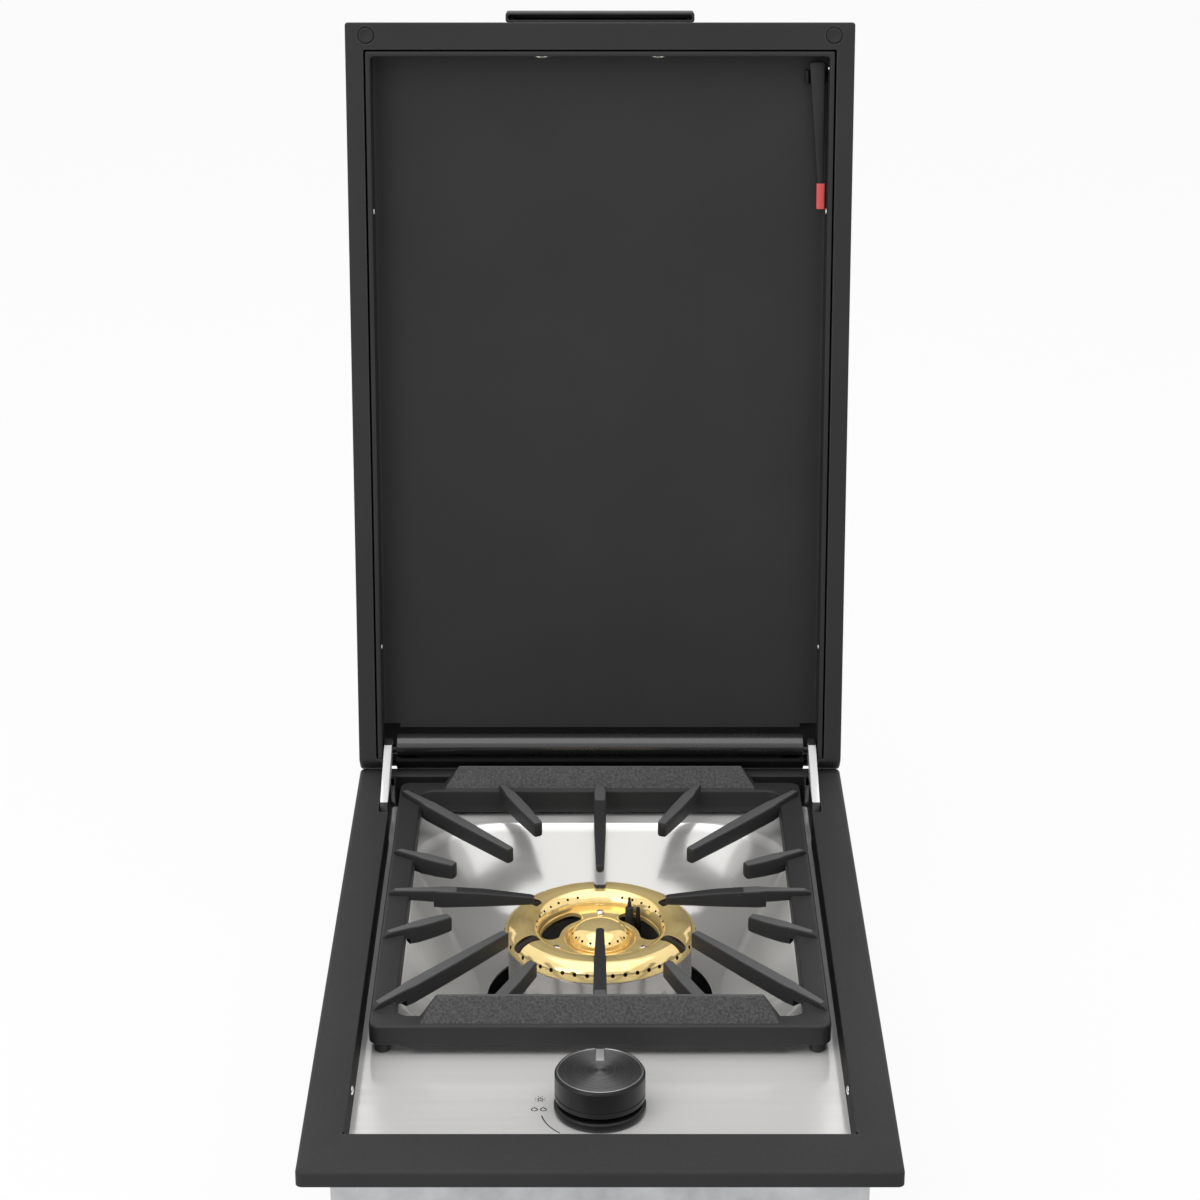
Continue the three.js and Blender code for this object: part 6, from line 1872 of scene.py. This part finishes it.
def build_floor():
    """A plain pale floor under the box, almost white where it is seen."""
    half = 6000.0
    made = as_object("floor", (oblong(half, -half, half, tub_low.z), [(0, 1, 2, 3)]))
    look = bpy.data.materials.new("floor_white")
    look.use_nodes = True
    tree = look.node_tree
    shader = tree.nodes["Principled BSDF"]
    shader.inputs["Base Color"].default_value = (0.86, 0.86, 0.86, 1)
    shader.inputs["Roughness"].default_value = 0.9
    white = tree.nodes.new("ShaderNodeEmission")
    white.inputs["Color"].default_value = (1, 1, 1, 1)
    white.inputs["Strength"].default_value = 1.0
    share = math_node(tree, "MULTIPLY", rays_seen(tree), 0.9)
    mixed_shader(tree, share, shader.outputs[0], white.outputs[0], "Material Output")
    made.data.materials.append(look)


def build_world():
    """White for the camera and reflections, softer for the light it gives."""
    world = bpy.data.worlds.new("studio")
    bpy.context.scene.world = world
    world.use_nodes = True
    tree = world.node_tree
    soft, bright = tree.nodes["Background"], tree.nodes.new("ShaderNodeBackground")
    for back, strength in ((soft, 0.62), (bright, 1.0)):
        back.inputs["Color"].default_value = (1, 1, 1, 1)
        back.inputs["Strength"].default_value = strength
    mixed_shader(tree, rays_seen(tree), soft.outputs[0], bright.outputs[0], "World Output")


def add_lamp(name, place, aim, size, energy):
    """A soft square lamp; places are in metres."""
    data = bpy.data.lights.new(name, "AREA")
    data.shape = "SQUARE"
    data.size = size
    data.energy = energy
    lamp = bpy.data.objects.new(name, data)
    lamp.location = place
    direction = Vector(aim) - Vector(place)
    lamp.rotation_euler = direction.to_track_quat("-Z", "Y").to_euler()
    bpy.context.scene.collection.objects.link(lamp)


def build_camera():
    """The photograph's view: level with the middle plane and looking down."""
    data = bpy.data.cameras.new("camera")
    data.lens = 94.58
    data.sensor_width = 36.0
    camera = bpy.data.objects.new("camera", data)
    camera.location = (0, -1.52125, 0.96916)
    camera.rotation_euler = (math.radians(67.709), 0, 0)
    bpy.context.scene.collection.objects.link(camera)
    bpy.context.scene.camera = camera


build_camera()
build_world()
add_lamp("overhead", (0.0, -0.3, 2.3), (0, 0.2, 0), 3.0, 38.0)
add_lamp("front_left", (-1.5, -1.6, 1.3), (0, 0.2, 0.1), 1.4, 14.0)
bpy.context.scene.view_settings.view_transform = "Standard"

build_floor()
build_trim_frame()
build_burner_box()
build_cooktop_panel()
build_panel_marks()
build_grate()
build_burner_ring()
build_ring_screws()
build_burner_cap()
build_burner_cup()
build_probes()
build_knob()
build_bezel()
build_valve_spring()
build_lid_shell()
build_lid_liner()
build_lid_handle()
build_bumpers()
build_liner_screws()
build_hinge()
build_arms()
build_bolts()
build_skirt_screws()
build_stick()
build_fitting()
build_sheet_parts()
dress_solids()
